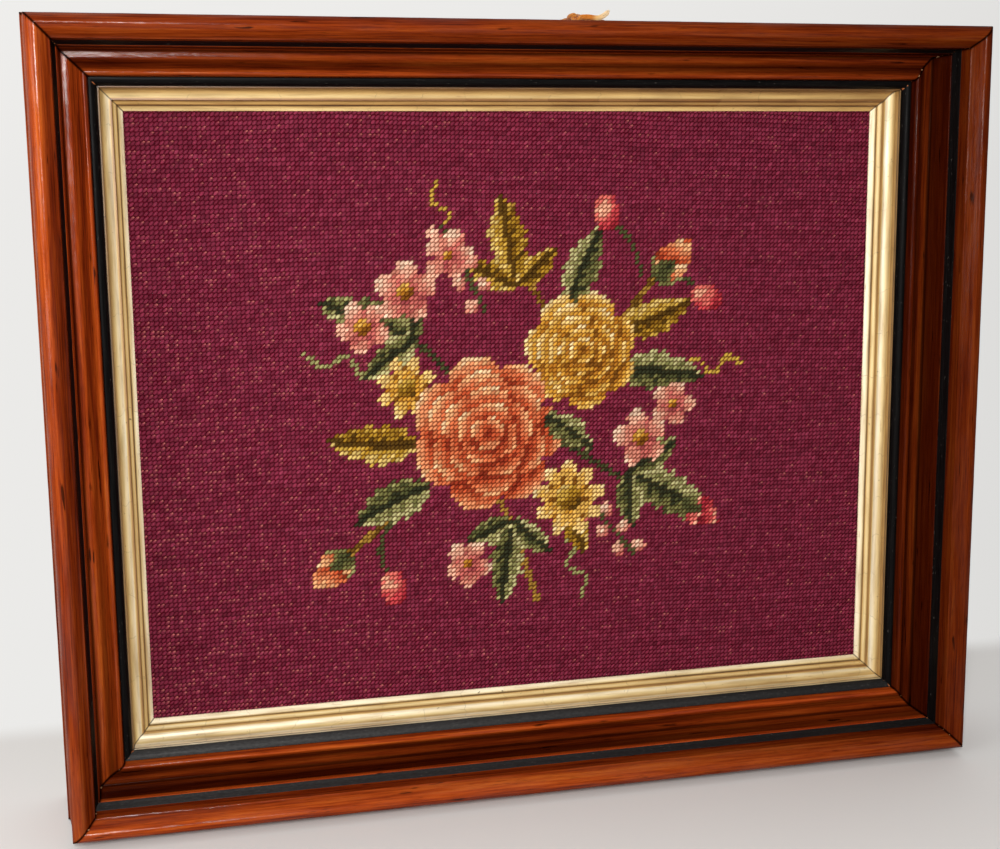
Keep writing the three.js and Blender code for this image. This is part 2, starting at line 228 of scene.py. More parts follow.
def tint(colours):
    """Colours of 0 to 255 as the light they stand for."""
    c = np.array(colours) / 255
    return np.where(c <= 0.04045, c / 12.92, ((c + 0.055) / 1.055) ** 2.4)


def opaque(colour):
    """A colour of 0 to 255, or a grey of 0 to 1, as a socket takes it."""
    return (*(tint(colour) if isinstance(colour, tuple) else (colour,) * 3), 1)


def feed(material, shader, sockets):
    """Sets each socket to a number, a vector or a colour, or links the output that feeds it."""
    for key, value in sockets.items():
        socket = shader.inputs[key]
        if isinstance(value, bpy.types.NodeSocket):
            material.node_tree.links.new(value, socket)
        else:
            socket.default_value = opaque(value) if socket.type == "RGBA" else value


def finish_named(name, sockets):
    """A material, and its surface shader with some sockets set."""
    made = bpy.data.materials.new(name)
    made.use_nodes = True
    shader = made.node_tree.nodes["Principled BSDF"]
    feed(made, shader, sockets)
    return made, shader


def node(material, kind, sockets=None, **settings):
    """A shader node with its settings and sockets."""
    made = material.node_tree.nodes.new("ShaderNode" + kind)
    for key, value in settings.items():
        setattr(made, key, value)
    feed(material, made, sockets or {})
    return made


def carried(material, name, output="Fac"):
    """A number, vector or colour that the piece carries under a name."""
    return node(material, "Attribute", attribute_type="GEOMETRY", attribute_name=name).outputs[output]


def places_of(material):
    """The place on the object, in metres."""
    return node(material, "TexCoord").outputs["Object"]


def scaled(material, place, scales):
    """A place times its own number along each axis."""
    return node(material, "VectorMath", {0: place, 1: scales}, operation="MULTIPLY").outputs[0]


def mottle(material, place, scales, detail=2, distortion=0):
    """A noise from 0 to 1, with its own scale along each axis."""
    sockets = {"Scale": 1, "Detail": detail, "Distortion": distortion}
    return node(material, "TexNoise", {"Vector": scaled(material, place, scales), **sockets}).outputs["Fac"]


def ramp(material, factor, stops):
    """A factor turned into a colour, or a grey, by stops of place and colour."""
    made = node(material, "ValToRGB", {"Fac": factor})
    elements = made.color_ramp.elements
    for _ in stops[2:]:
        elements.new(1)
    for element, (place, colour) in zip(elements, stops):
        element.position = place
        element.color = opaque(colour)
    return made.outputs["Color"]


def blended(material, factor, first, second, way="MIX"):
    """Two colours mixed by a factor."""
    made = node(material, "Mix", {0: factor, 6: first, 7: second}, data_type="RGBA", blend_type=way)
    return made.outputs[2]


def times(material, tone, *others):
    """Colours or greys multiplied together."""
    for other in others:
        tone = blended(material, 1, tone, other, "MULTIPLY")
    return tone


def raised(material, height, depth, strength=1):
    """A bump as deep as depth where the height goes from 0 to 1."""
    return node(material, "Bump", {"Height": height, "Distance": depth, "Strength": strength}).outputs[0]


cotton, cotton_shader = finish_named("cotton", {"Roughness": 0.85, "Sheen Weight": 0.25})
fibres = mottle(cotton, places_of(cotton), (2600, 2600, 2600), 3)
cotton_tone = ramp(cotton, fibres, [(0.3, (158, 84, 14)), (0.7, (226, 146, 52))])
# Painted shade: the cotton is darker in the grooves between its strands.
groove_shade = ramp(cotton, carried(cotton, "crest"), [(0, 0.35), (0.55, 1)])
feed(cotton, cotton_shader, {
    "Base Color": times(cotton, cotton_tone, groove_shade),
    "Normal": raised(cotton, fibres, 0.15 * mm),
})
halves = {}
for side, route in routes.items():
    line = evenly(smooth_line(route, 24), cord_step)
    places, crest = twisted(line, cord_radius, cord_lay, cord_around, behind_it)
    half = made_piece(f"cord_{side}", f"hanging_cord_{side}", "frame", "cord", cotton,
                      places, rings_joined(*crest.shape), {"crest": crest})
    halves[side] = half, line


def knotted(solid, strand_radius):
    """A knot drawn tight: the cord follows (sin t + 2 sin 2t, cos t - 2 cos 2t, -sin 3t), scaled to
    the width, depth and height of its solid."""
    low, high = np.array(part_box(solid))
    t = even_angles(knot_points)
    turns = [np.sin(t) + 2 * np.sin(2 * t), -np.sin(3 * t), np.cos(t) - 2 * np.cos(2 * t)]
    loop = np.column_stack(turns)
    loop *= ((high - low) / 2 - strand_radius) / np.abs(loop).max(0)
    run = lengths_along(np.vstack([loop, loop[:1]]))[-1]
    lay = run / round(run / cord_lay)
    places, crest = twisted(loop, strand_radius, lay, knot_around, unit(loop), ring=True)
    return places + (low + high) / 2, crest


for solid, strand_radius in knot_strand_radii.items():
    places, crest = knotted(solid, strand_radius)
    made_piece(f"{solid}_tied", solid, "frame", "cord", cotton,
               places, rings_joined(*crest.shape, True), {"crest": crest})

frayed, frayed_shader = finish_named("frayed_cotton", {"Roughness": 0.9})
frayed_stops = [(0.32, (208, 126, 40)), (0.48, (230, 188, 122)), (0.75, (240, 214, 172))]
feed(frayed, frayed_shader, {"Base Color": ramp(frayed, carried(frayed, "along"), frayed_stops)})

fibre_count = 90
fibre_sides = 5
fibre_radius = 0.17 * mm
bundle_radius = 1.15 * mm
brush_radius = 1.4 * mm
hidden_in_knot = 1.4 * mm
tail_step = 0.9 * mm
fibre_turn = 2.2
fibre_sway = 0.5
swell_from_share, swell_to_share = 0.2, 0.7
round_tip_share = 0.14
thin_end_share = 0.75


def brush(line, seed):
    """Fibres along a line. Each starts at its own place in the bundle, turns round the line with
    the lay and strays from it as the bundle swells. The outer ones end first, in a round tip."""
    rng = np.random.default_rng(seed)
    share = lengths_along(line) / lengths_along(line)[-1]
    place = np.sqrt(rng.uniform(0.02, 1, (fibre_count, 1)))
    angle = rng.uniform(0, 2 * math.pi, (fibre_count, 1)) + share * fibre_turn
    angle = angle + fibre_sway * np.sin(rng.uniform(2, 6, (fibre_count, 1)) * share)
    swell = np.clip((share - swell_from_share) / (swell_to_share - swell_from_share), 0, 1) ** 1.2
    out = (place * (bundle_radius + (brush_radius - bundle_radius) * swell))[..., None]
    side, up = sides_of(line, behind_it)
    path = line + out * (np.cos(angle)[..., None] * side + np.sin(angle)[..., None] * up)
    ends = (1 - round_tip_share * place**2) * rng.uniform(0.95, 1, (fibre_count, 1))
    kept = share * ends * (len(line) - 1)
    low = np.clip(np.floor(kept).astype(int), 0, len(line) - 2)
    part = (kept - low)[..., None]
    which = np.arange(fibre_count)[:, None]
    return path[which, low] * (1 - part) + path[which, low + 1] * part, share * ends


tail_line = evenly(smooth_line(tail_route, 12), tail_step)
tail_line = np.vstack([tail_line[0] - unit(tail_line[1] - tail_line[0]) * hidden_in_knot, tail_line])
fibre_lines, fibre_shares = brush(tail_line, 4)
fibre_radii = fibre_radius * (1 - thin_end_share * fibre_shares**3)[..., None, None]
fibre_round = away_from(fibre_lines, even_angles(fibre_sides), behind_it)
fibre_places = fibre_lines[:, :, None] + fibre_radii * fibre_round
fibre_faces = rings_joined(len(tail_line), fibre_sides)
made_piece("cord_tail_frayed", "cord_tail", "frame", "cord", frayed, fibre_places,
           repeated(fibre_faces, fibre_count, len(tail_line) * fibre_sides),
           {"along": np.repeat(fibre_shares[..., None], fibre_sides, -1)})

for side, (half, line) in halves.items():
    lengths_along(line)[-1]

# Outer moulding. Walnut, in four mitred lengths under a thick, glossy varnish: a flange at the
# wall, a side that flares out towards it, a rounded nose in front and a lip over the black band.
sight_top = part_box("gilt_liner_top")[0].z
sight_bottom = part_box("gilt_liner_bottom")[1].z
sight_width = -2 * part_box("gilt_liner_left")[1].x
sight_height = sight_top - sight_bottom
sight_middle = (sight_top + sight_bottom) / 2
cloth_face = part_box("needlework")[0].y
cloth_middle = np.array([0, cloth_face, sight_middle])
# Each side's direction along it and away from the opening, and the opening's run and half width.
sides = {
    "top": ((1, 0, 0), (0, 0, 1), sight_width, sight_height / 2),
    "right": ((0, 0, -1), (1, 0, 0), sight_height, sight_width / 2),
    "bottom": ((-1, 0, 0), (0, 0, -1), sight_width, sight_height / 2),
    "left": ((0, 0, 1), (-1, 0, 0), sight_height, sight_width / 2),
}
mitre_gap = 0.06 * mm
mitre_shading = 4 * mm
steps_to_mitre = np.array([0.3, 0.8, 1.6, 3.0]) * mm
wave_lengths = (11, 17, 26, 41, 73)
corner_steps = 4
next_in_log = np.array([0.731, 0.113, 0])
along_it, by_reach, by_height = 0, 1, 2
rear = -21.2
seat_reach = 37.0
flange_reach = 49.9
flange_front = 16.5
flange_step = 0.9
flare_foot = (flange_reach - flange_step, flange_front + flange_step)
nose_foot = (45.5, 57.1)
nose_end = (33.2, 64.7)
lip_base = 47.7
flare_shares = [(0, 0), (0.36, 0.25), (0.66, 0.55), (0.88, 0.85), (1, 1)]
nose_shares = [
    (0, 0), (0.02, 0.4), (0.16, 0.8), (0.33, 0.98), (0.47, 1),
    (0.62, 0.84), (0.8, 0.47), (0.92, 0.22), (1, 0.13),
]
# Darkness of the walnut by reach and along each side: partly the wood's own stain and partly painted shade,
# heavy on the right side and growing away from the upper left corner.
outer_stain_and_shade = {
    "top": [(by_reach, (33, 38, 44, 50), (0.7, 0.5, 0.45, 0.45)), (along_it, (-100, 270), (0, 0.3))],
    "right": [(by_reach, (33, 38, 44, 50), (0.85, 0.82, 0.76, 0.66))],
    "bottom": [(by_reach, (33, 38, 44, 50), (0.45, 0.2, 0.25, 0.45)), (along_it, (-270, 60), (0.4, 0))],
    "left": [(by_reach, (33, 38, 40, 42), (0.35, 0.3, 0.15, 0.1)), (along_it, (-200, 120), (0.35, 0))],
}


def between(start, end, shares, steps=7):
    """A smooth line in the box from start to end, by shares of its width and height."""
    start, end = np.array(start), np.array(end)
    return smooth_line(start + (end - start) * np.array(shares), steps)


def outlined(*stretches):
    """A closed line round a section, through corners and curves. A corner is (reach, height,
    softness), rounded by a bend that starts softness before it; a curve is an array of points."""
    made = []
    for i, stretch in enumerate(stretches):
        if isinstance(stretch, np.ndarray):
            made.append(stretch)
            continue
        before = np.atleast_2d(stretches[i - 1])[-1, :2]
        after = np.atleast_2d(stretches[(i + 1) % len(stretches)])[0, :2]
        corner, soft = np.array(stretch[:2]), stretch[2]
        start = corner + unit(before - corner) * min(soft, np.linalg.norm(before - corner) / 2)
        end = corner + unit(after - corner) * min(soft, np.linalg.norm(after - corner) / 2)
        t = np.linspace(0, 1, corner_steps)[:, None]
        made.append((1 - t) ** 2 * start + 2 * t * (1 - t) * corner + t**2 * end)
    line = np.vstack(made)
    return line[np.linalg.norm(line - np.roll(line, 1, 0), axis=1) > 0.01]


def hollows(section, width=0.8):
    """How deep in a hollow each point of a section lies, from 0 to 1: the turns the wrong way
    near it, each weighed by a bell of its distance."""
    before, after = section - np.roll(section, 1, 0), np.roll(section, -1, 0) - section
    turn = np.arctan2(before[:, 0] * after[:, 1] - before[:, 1] * after[:, 0], (before * after).sum(1))
    inward = np.clip(-turn * np.sign(turn.sum()), 0, None)
    apart = np.linalg.norm(section[:, None] - section[None], axis=-1)
    return np.clip((np.exp(-((apart / width) ** 2)) * inward).sum(1), 0, 1)


def wander(along, across, seed, lengths):
    """A smooth unevenness from -1 to 1: the mean of waves, each with its own length, slant and
    phase."""
    rng = np.random.default_rng(seed)
    waves = [
        np.sin(2 * math.pi * (along + rng.uniform(-2, 2) * across) / length + rng.uniform(0, 6.3))
        for length in lengths
    ]
    return sum(waves) / len(waves)


def moulding(piece, slot, material, section, first_seed, uneven, spacing, stains_and_shades):
    """Four mitred lengths. The section's reach and height, in millimetres, are carried along each
    side, out to its mitres, and raised along the section's normal by the unevenness. The last
    argument holds tables for a side whose darknesses are added up: the axis that each goes by,
    places and shares. The sum stands for stain and painted shade on the walnut, wear and painted
    light and shade on the gilt, and a painted sheen on the black bands."""
    ahead = np.roll(section, -1, 0) - np.roll(section, 1, 0)
    area = (section[:, 0] * np.roll(section[:, 1], -1) - section[:, 1] * np.roll(section[:, 0], -1)).sum()
    normal = unit(np.column_stack([ahead[:, 1], -ahead[:, 0]])) * np.sign(area)
    for seed, (side, (along, away, run, shift)) in enumerate(sides.items(), first_seed):
        half = run / 2 + section[:, 0] * mm - mitre_gap * math.sqrt(0.5)
        ends = steps_to_mitre / run * 2
        even = np.linspace(-1, 1, round(run / spacing) + 1)
        x = np.sort(np.concatenate([even, 1 - ends, ends - 1]))[:, None] * half
        lift = uneven * wander(x / mm, lengths_along(section), seed, wave_lengths)
        reach, height = section.T[:, None] + lift * normal.T[:, None]
        offset = x[..., None] * along + (shift + reach[..., None] * mm) * away
        places = cloth_middle + offset - height[..., None] * mm * np.array([0, 1, 0])
        own_place = np.stack([x / mm, reach, height], -1)
        darkness = sum(np.interp(own_place[..., axis], *table) for axis, *table in stains_and_shades.get(side, []))
        made_piece(f"{piece}_{side}_dressed", f"{piece}_{side}", "frame", slot, material, places,
                   rings_joined(*x.shape), {
                       "grain": own_place * mm + seed * next_in_log,
                       "mitre": np.clip((half - np.abs(x)) / mitre_shading, 0, 1),
                       "hollow": np.broadcast_to(hollows(section), x.shape),
                       "stain_and_painted_light": np.clip(darkness + 0 * x, 0, 1),
                   }, 30)


def reckoned(material, operation, *values, clamp=False):
    """One step of arithmetic between numbers or outputs."""
    made = node(material, "Math", dict(enumerate(values)), operation=operation, use_clamp=clamp)
    return made.outputs[0]


def patches(material, place, scales, detail, stops):
    """A noise turned into a colour, or a grey, by stops."""
    return ramp(material, mottle(material, place, scales, detail), stops)


walnut, walnut_shader = finish_named("varnished_walnut", {
    "Roughness": 0.45, "Specular IOR Level": 0, "Coat Roughness": 0.2,
})
in_wood = carried(walnut, "grain", "Vector")
figure = mottle(walnut, in_wood, (4, 95, 95), 3, 0.6)
streaks = mottle(walnut, in_wood, (28, 850, 850), 3)
in_hollow = carried(walnut, "hollow")
from_mitre = carried(walnut, "mitre")
stain_and_shade_share = carried(walnut, "stain_and_painted_light")
walnut_tone = ramp(walnut, blended(walnut, 0.45, figure, streaks), [
    (0.3, (80, 24, 8)), (0.42, (128, 44, 12)), (0.54, (166, 68, 20)), (0.7, (198, 98, 34)),
])
pore_tone = patches(walnut, in_wood, (110, 3600, 3600), 2, [(0.3, 0.5), (0.42, 1)])
fleck_tone = patches(walnut, in_wood, (42, 300, 300), 2, [(0.68, 1), (0.74, 0.2)])
# Dirt and painted shade: the wood is darker in the hollows of its section.
hollow_dirt_and_shade = ramp(walnut, in_hollow, [(0.15, 1), (0.9, 0.3)])
mitre_tone = ramp(walnut, from_mitre, [(0.06, 0.06), (0.36, 1)])
unstained_wood = times(walnut, walnut_tone, pore_tone, fleck_tone, hollow_dirt_and_shade)
# Stain and painted shade: a darker copy of the wood, laid over it as far as the carried share says.
stained_or_shaded_wood = times(walnut, unstained_wood, (98, 86, 88))
stained_and_shaded = times(walnut, blended(walnut, stain_and_shade_share, unstained_wood, stained_or_shaded_wood), mitre_tone)
near_mitre = ramp(walnut, from_mitre, [(0.175, 1), (0.25, 0)])
chips = patches(walnut, in_wood, (260, 260, 260), 1, [(0.7, 0), (0.72, 1)])
ripple = mottle(walnut, in_wood, (120, 380, 380), 4)
varnish_height = reckoned(walnut, "MULTIPLY_ADD", streaks, 0.5, ripple)
feed(walnut, walnut_shader, {
    "Base Color": blended(walnut, times(walnut, near_mitre, chips), stained_and_shaded, (156, 116, 84)),
    "Normal": raised(walnut, varnish_height, 0.12 * mm, 0.7),
    "Coat Weight": times(
        walnut, mitre_tone,
        ramp(walnut, in_hollow, [(0.1, 0.42), (0.7, 0.05)]),
        ramp(walnut, stain_and_shade_share, [(0.35, 1), (0.85, 0.25)]),
        patches(walnut, in_wood, (24, 170, 170), 4, [(0.42, 0.3), (0.58, 1)]),
    ),
    "Coat Normal": raised(walnut, varnish_height, 0.24 * mm),
})
moulding("outer_moulding", "walnut", walnut, outlined(
    (seat_reach, rear, 0.4),
    (flange_reach, rear, 0.6),
    (flange_reach, flange_front, 1.1),
    between(flare_foot, nose_foot, flare_shares)[:-1],
    between(nose_foot, nose_end, nose_shares),
    (nose_end[0], lip_base, 0.4),
    (seat_reach, lip_base, 0.1),
), 1, 0.06, 3 * mm, outer_stain_and_shade)

# Outer fillet. A thin black band of ebonized wood between the two mouldings, upright under the
# nose's lip, with a small sloping foot. On the bottom side a grey painted sheen lies over it.
outer_band_base = 40.4
outer_band_top = 47.4
outer_band_face = 33.3
outer_band_foot = 1.2
outer_band_slant = 0.7
inner_reach = 36.7
# Painted sheen on the bottom side's black, stronger towards its left end.
outer_band_sheen = {"bottom": [(along_it, (-200, 200), (0.1, 0.4))]}


def layered(material, tone, *layers):
    """A tone with others laid over it in turn, each as far as its own share says."""
    for share, over in layers:
        tone = blended(material, share, tone, over)
    return tone


black, black_shader = finish_named("ebonized_wood", {"Roughness": 0.4, "Specular IOR Level": 0.05})
in_black = carried(black, "grain", "Vector")
black_streaks = mottle(black, in_black, (60, 1500, 1500), 3)
dust = mottle(black, in_black, (420, 900, 900))
black_tone = ramp(black, black_streaks, [(0.35, (6, 5, 5)), (0.7, (15, 13, 13))])
dust_share = ramp(black, dust, [(0.68, 0), (0.78, 0.4)])
# Painted sheen: grey laid over the black as far as the carried share says, patchy with the dust.
painted_sheen_share = times(black, carried(black, "stain_and_painted_light"), ramp(black, dust, [(0.3, 0.6), (0.7, 1)]))
at_joint = ramp(black, carried(black, "mitre"), [(0.15, 1), (0.225, 0)])
bare_share = times(black, at_joint, patches(black, in_black, (200, 260, 260), 1, [(0.62, 0), (0.64, 1)]))
feed(black, black_shader, {
    "Base Color": layered(
        black, black_tone,
        (dust_share, (104, 98, 92)), (painted_sheen_share, (86, 86, 86)), (bare_share, (156, 92, 54)),
    ),
    "Roughness": ramp(black, black_streaks, [(0.3, 0.34), (0.7, 0.5)]),
    "Normal": raised(black, black_streaks, 0.06 * mm, 0.6),
})
moulding("outer_fillet", "ebonized_wood", black, outlined(
    (outer_band_face - outer_band_slant - outer_band_foot, outer_band_base, 0.3),
    (inner_reach, outer_band_base, 0.1),
    (inner_reach, outer_band_top, 0.1),
    (outer_band_face, outer_band_top, 0.2),
    (outer_band_face - outer_band_slant, outer_band_base + 2 * outer_band_foot, 0.6),
), 5, 0.03, 4 * mm, outer_band_sheen)

# Inner moulding. Walnut again, in four lengths: an upright wall under the black band, a floor
# that rises a little inwards, and a small bead that the inner black band is laid against.
board_back = -12.2
wall_reach = 31.2
wall_fillet = 2.2
inner_height = 40.1
floor_height = 19.1
floor_rise = 0.5
rebate_reach = 17.2
ramp_foot = (25.3, floor_height + floor_rise)
bead_shoulder = (22.1, 22.2)
bead_top = (rebate_reach, 25.3)
wall_foot = (wall_reach, floor_height + wall_fillet)
floor_outer = (wall_reach - wall_fillet, floor_height)
fillet_shares = [(0, 0), (0.07, 0.62), (0.38, 0.93), (1, 1)]
floor_shares = [(0, 0), (0.35, 0.03), (0.7, 0.35), (1, 1)]
bead_shares = [(0, 0), (0.28, 0.62), (0.62, 1), (0.88, 0.72), (1, -0.65)]
# Darkness of the inner walnut by reach, height and along each side: partly stain and partly painted shade
# and light, heaviest on the right side.
inner_stain_and_shade = {
    "top": [
        (by_reach, (17, 20, 22, 24, 26, 28, 31), (0.45, 0.35, 0.6, 0.95, 0.6, 0.4, 0.45)),
        (by_height, (26, 28, 37, 39), (0, 0.4, 0.5, 0.2)),
        (along_it, (-100, 270), (0, 0.2)),
    ],
    "right": [
        (by_reach, (17, 19, 20, 21.5, 22.5, 26, 30, 31), (1, 0.85, 0.5, 0.6, 0.95, 0.75, 0.85, 1)),
    ],
    "bottom": [
        (by_reach, (17, 20, 21.5, 22.5, 24, 27, 29, 31), (0.1, 0.2, 0.45, 0.9, 0.9, 0.65, 0.75, 0.8)),
        (by_height, (25, 28, 36, 38), (0, 0.25, 0.25, -0.6)),
        (along_it, (-270, 0), (-0.3, 0)),
    ],
    "left": [
        (by_reach, (17, 22, 24, 25.5, 27, 31), (0, 0.05, 0.5, 0.2, 0, 0)),
        (along_it, (-200, 120), (0.4, 0)),
    ],
}


def with_points_between(line, step):
    """A closed line with even points added wherever two of its own lie further apart than a
    step: each stretch is cut into as many equal parts as it needs."""
    ahead = np.roll(line, -1, 0) - line
    parts = np.ceil(np.linalg.norm(ahead, axis=1) / step).astype(int)
    place = np.arange(parts.sum()) - np.repeat(np.cumsum(parts) - parts, parts)
    share = (place / np.repeat(parts, parts))[:, None]
    return np.repeat(line, parts, 0) + share * np.repeat(ahead, parts, 0)


moulding("inner_moulding", "walnut", walnut, with_points_between(outlined(
    (rebate_reach, board_back, 0.3),
    (inner_reach, board_back, 0.3),
    (inner_reach, inner_height, 0.2),
    (wall_reach, inner_height, 0.6),
    between(wall_foot, floor_outer, fillet_shares)[:-1],
    between(floor_outer, ramp_foot, floor_shares),
    between(bead_shoulder, bead_top, bead_shares),
), 1.2), 9, 0.05, 3 * mm, inner_stain_and_shade)

# Inner fillet. The wider black band: a flat top beside the small bead and a dished slope that
# runs down to the gilt.
inner_band_base = 15.7
inner_band_inner = 12.55
inner_band_outer = 16.9
inner_band_height = 20.2
inner_band_flat = 1.5
inner_band_edge = 0.9
slope_top = (inner_band_outer - inner_band_flat, inner_band_height)
slope_foot = (inner_band_inner, inner_band_base + inner_band_edge)
slope_shares = [(0, 0), (0.45, 0.16), (0.85, 0.62), (1, 1)]
# Painted sheen on the bottom side's black, stronger towards its left end.
inner_band_sheen = {"bottom": [(along_it, (-200, 200), (0.2, 0.55))]}
moulding("inner_fillet", "ebonized_wood", black, outlined(
    (inner_band_inner, inner_band_base, 0.1),
    (inner_band_outer, inner_band_base, 0.1),
    (inner_band_outer, inner_band_height, 0.3),
    between(slope_top, slope_foot, slope_shares, 5),
), 13, 0.04, 4 * mm, inner_band_sheen)

# Gilt liner. Pale gold leaf over gesso, burnished: an outer ridge, a cove, two small steps and a
# sloping sight edge. The leaves overlap along it, brown bole shows where they are rubbed through,
# and dirt has settled in small pits. Its hollows are darkened by dirt and painted shade, and its
# tone across the profile and by side is partly wear and partly painted light and shade.
liner_width = 16.9
ridge_reach = 12.25
ridge_width = 0.6
ridge_height = 16.2
shoulder_drop = 0.8
lip_height = 1.1
step_height = 0.9
cove_height = 7.2
cove_reach = ridge_reach - ridge_width
cove_top = (cove_height + ridge_height) / 2
step_reaches = [share * cove_reach for share in (0.25, 0.27, 0.45, 0.48)]
cove_shares = [(0, 0), (0.3, 0.03), (0.65, 0.25), (0.9, 0.6), (1, 1)]
rise = (cove_height - lip_height - 2 * step_height) / 2
first_step = lip_height + rise
second_step = first_step + step_height + rise
leaf_length = 26 * mm
# Darkness of the gold by reach and by side: partly wear and partly painted light and shade, with dark bands
# at the steps, darker on the top, lighter on the right and on the bottom's ridge.
leaf_wear_and_shade = (
    by_reach, (0.3, 1.0, 2.4, 2.9, 3.2, 3.5, 4.3, 5.1, 5.5, 6.2, 6.7, 7.3, 8.6, 10.2, 11.4, 11.7, 12.3, 17),
    (0, 0.05, 0.25, 0.7, 0.75, 0.4, 0.3, 0.55, 0.9, 0.85, 0.4, 0, 0.12, 0.35, 0.5, 0.85, 0.75, 0.9),
)
gilt_wear_and_shade = {
    "top": [leaf_wear_and_shade, (along_it, (-200, 100, 270), (0.22, 0.38, 0.48))],
    "right": [leaf_wear_and_shade, (along_it, (0,), (-0.08,))],
    "bottom": [leaf_wear_and_shade, (along_it, (-200, 200), (0.05, -0.15)), (by_reach, (11, 11.6), (0, -0.65))],
    "left": [leaf_wear_and_shade],
}
gold, gold_shader = finish_named("gold_leaf", {
    "Roughness": 0.4, "Metallic": 0.15, "Coat Weight": 0.3, "Coat Roughness": 0.38,
})
in_gold = carried(gold, "grain", "Vector")
rub = mottle(gold, in_gold, (30, 420, 420), 4)
wear_and_shade_tone = ramp(gold, carried(gold, "stain_and_painted_light"), [
    (0, (255, 244, 214)), (0.25, (242, 218, 158)), (0.5, (214, 176, 106)), (0.95, (132, 86, 32)),
])
rub_tone = ramp(gold, rub, [(0.3, (206, 196, 180)), (0.5, (240, 236, 230)), (0.7, 1)])
across_leaves = node(gold, "SeparateXYZ", {"Vector": in_gold}).outputs["X"]
across_leaves = reckoned(gold, "DIVIDE", across_leaves, leaf_length)
leaf_place = reckoned(gold, "MULTIPLY_ADD", mottle(gold, in_gold, (14, 120, 120)), 0.7, across_leaves)
leaf_number = reckoned(gold, "FLOOR", leaf_place)
leaf_tone = node(gold, "TexWhiteNoise", {"W": leaf_number}, noise_dimensions="1D").outputs["Value"]
leaf_share = reckoned(gold, "MULTIPLY", leaf_tone, 0.2)
lap = ramp(gold, reckoned(gold, "FRACT", leaf_place), [(0, 0.35), (0.015, 1)])
lap_share = patches(gold, in_gold, (30, 240, 240), 2, [(0.44, 0.1), (0.56, 0.9)])
bole_share = patches(gold, in_gold, (80, 900, 900), 4, [(0.64, 0), (0.74, 0.6)])
smudge_share = patches(gold, in_gold, (9, 60, 60), 3, [(0.58, 0), (0.72, 0.5)])
hollow_patches = patches(gold, in_gold, (25, 120, 120), 3, [(0.32, 0.5), (0.6, 1)])
# Dirt and painted shade: the gold is darkened in the hollows of its section, in patches.
dirt_and_shade_share = times(gold, ramp(gold, carried(gold, "hollow"), [(0.1, 0), (0.7, 0.9)]), hollow_patches)
pit_share = patches(gold, in_gold, (380, 520, 520), 2, [(0.73, 0), (0.77, 0.9)])
gold_tone = layered(gold, times(gold, wear_and_shade_tone, rub_tone), (leaf_share, (196, 154, 94)))
gold_tone = blended(gold, lap_share, gold_tone, lap, "MULTIPLY")
gold_tone = layered(
    gold, gold_tone, (bole_share, (158, 108, 62)), (smudge_share, (140, 104, 66)),
    (dirt_and_shade_share, (64, 42, 22)), (pit_share, (58, 38, 20)),
)
feed(gold, gold_shader, {
    "Base Color": times(gold, gold_tone, ramp(gold, carried(gold, "mitre"), [(0.04, 0.2), (0.16, 1)])),
    "Roughness": ramp(gold, rub, [(0.3, 0.52), (0.7, 0.42)]),
    "Normal": raised(gold, rub, 0.1 * mm, 0.5),
})
moulding("gilt_liner", "gilt_wood", gold, with_points_between(outlined(
    (0, 0.3, 0.1),
    (liner_width, 0.3, 0.1),
    (liner_width, ridge_height - shoulder_drop, 0.2),
    (ridge_reach, ridge_height - shoulder_drop, 0.1),
    (ridge_reach, ridge_height, 0.15),
    (cove_reach, ridge_height, 0.25),
    between((step_reaches[3], cove_height), (cove_reach, cove_top), cove_shares)[::-1],
    (step_reaches[2], second_step, 0.25),
    (step_reaches[1], first_step + step_height, 0.25),
    (step_reaches[0], first_step, 0.25),
    (0, lip_height, 0.35),
), 0.5), 17, 0.05, 3 * mm, gilt_wear_and_shade)

# Needlework. Slanting tent stitches of wool, one over each crossing of the canvas: a burgundy
# ground, and on it a spray of roses, daisies, blossom and leaves. Each stitch is its own strand
# that comes up at one hole, swells, and goes down at the next one up and to the right.
pitch = 2.54 * mm
row_pitch = 2.57 * mm
half_columns = 93
half_rows = 73
row_fall_share = 0.022
edge_fall = 3.2 * mm
edge_fall_middle = -0.235
edge_fall_width = 0.09
column_lean_share = 0.02
cloth_unevenness = 0.5 * mm
light_degrees = 125
columns, rows = np.meshgrid(np.arange(-half_columns, half_columns), np.arange(-half_rows, half_rows))
columns, rows = columns.ravel(), rows.ravel()
worked = np.column_stack([columns, rows]) + 0.5
coral_wools = [
    (146, 50, 28), (188, 80, 46), (214, 112, 70), (228, 144, 98), (238, 176, 124), (242, 204, 158),
]
ochre_wools = [
    (128, 78, 20), (174, 112, 32), (206, 148, 52), (224, 176, 84), (238, 202, 126), (242, 218, 162),
]
rose_wools = [(112, 22, 34), (156, 40, 52), (194, 66, 72), (218, 108, 98), (238, 172, 142)]
pink_wools = [(156, 70, 72), (196, 102, 94), (218, 138, 118), (234, 176, 150), (240, 204, 176)]
sage_wools = [(46, 48, 30), (76, 78, 44), (114, 112, 64), (152, 148, 94), (188, 182, 128)]
mustard_wools = [(86, 60, 16), (130, 92, 22), (164, 124, 36), (194, 156, 64), (216, 186, 108)]
twig_wools = [(112, 78, 24), (162, 122, 50)]
ground_wools = [(108, 32, 51), (116, 36, 57), (124, 41, 63), (132, 47, 70)]


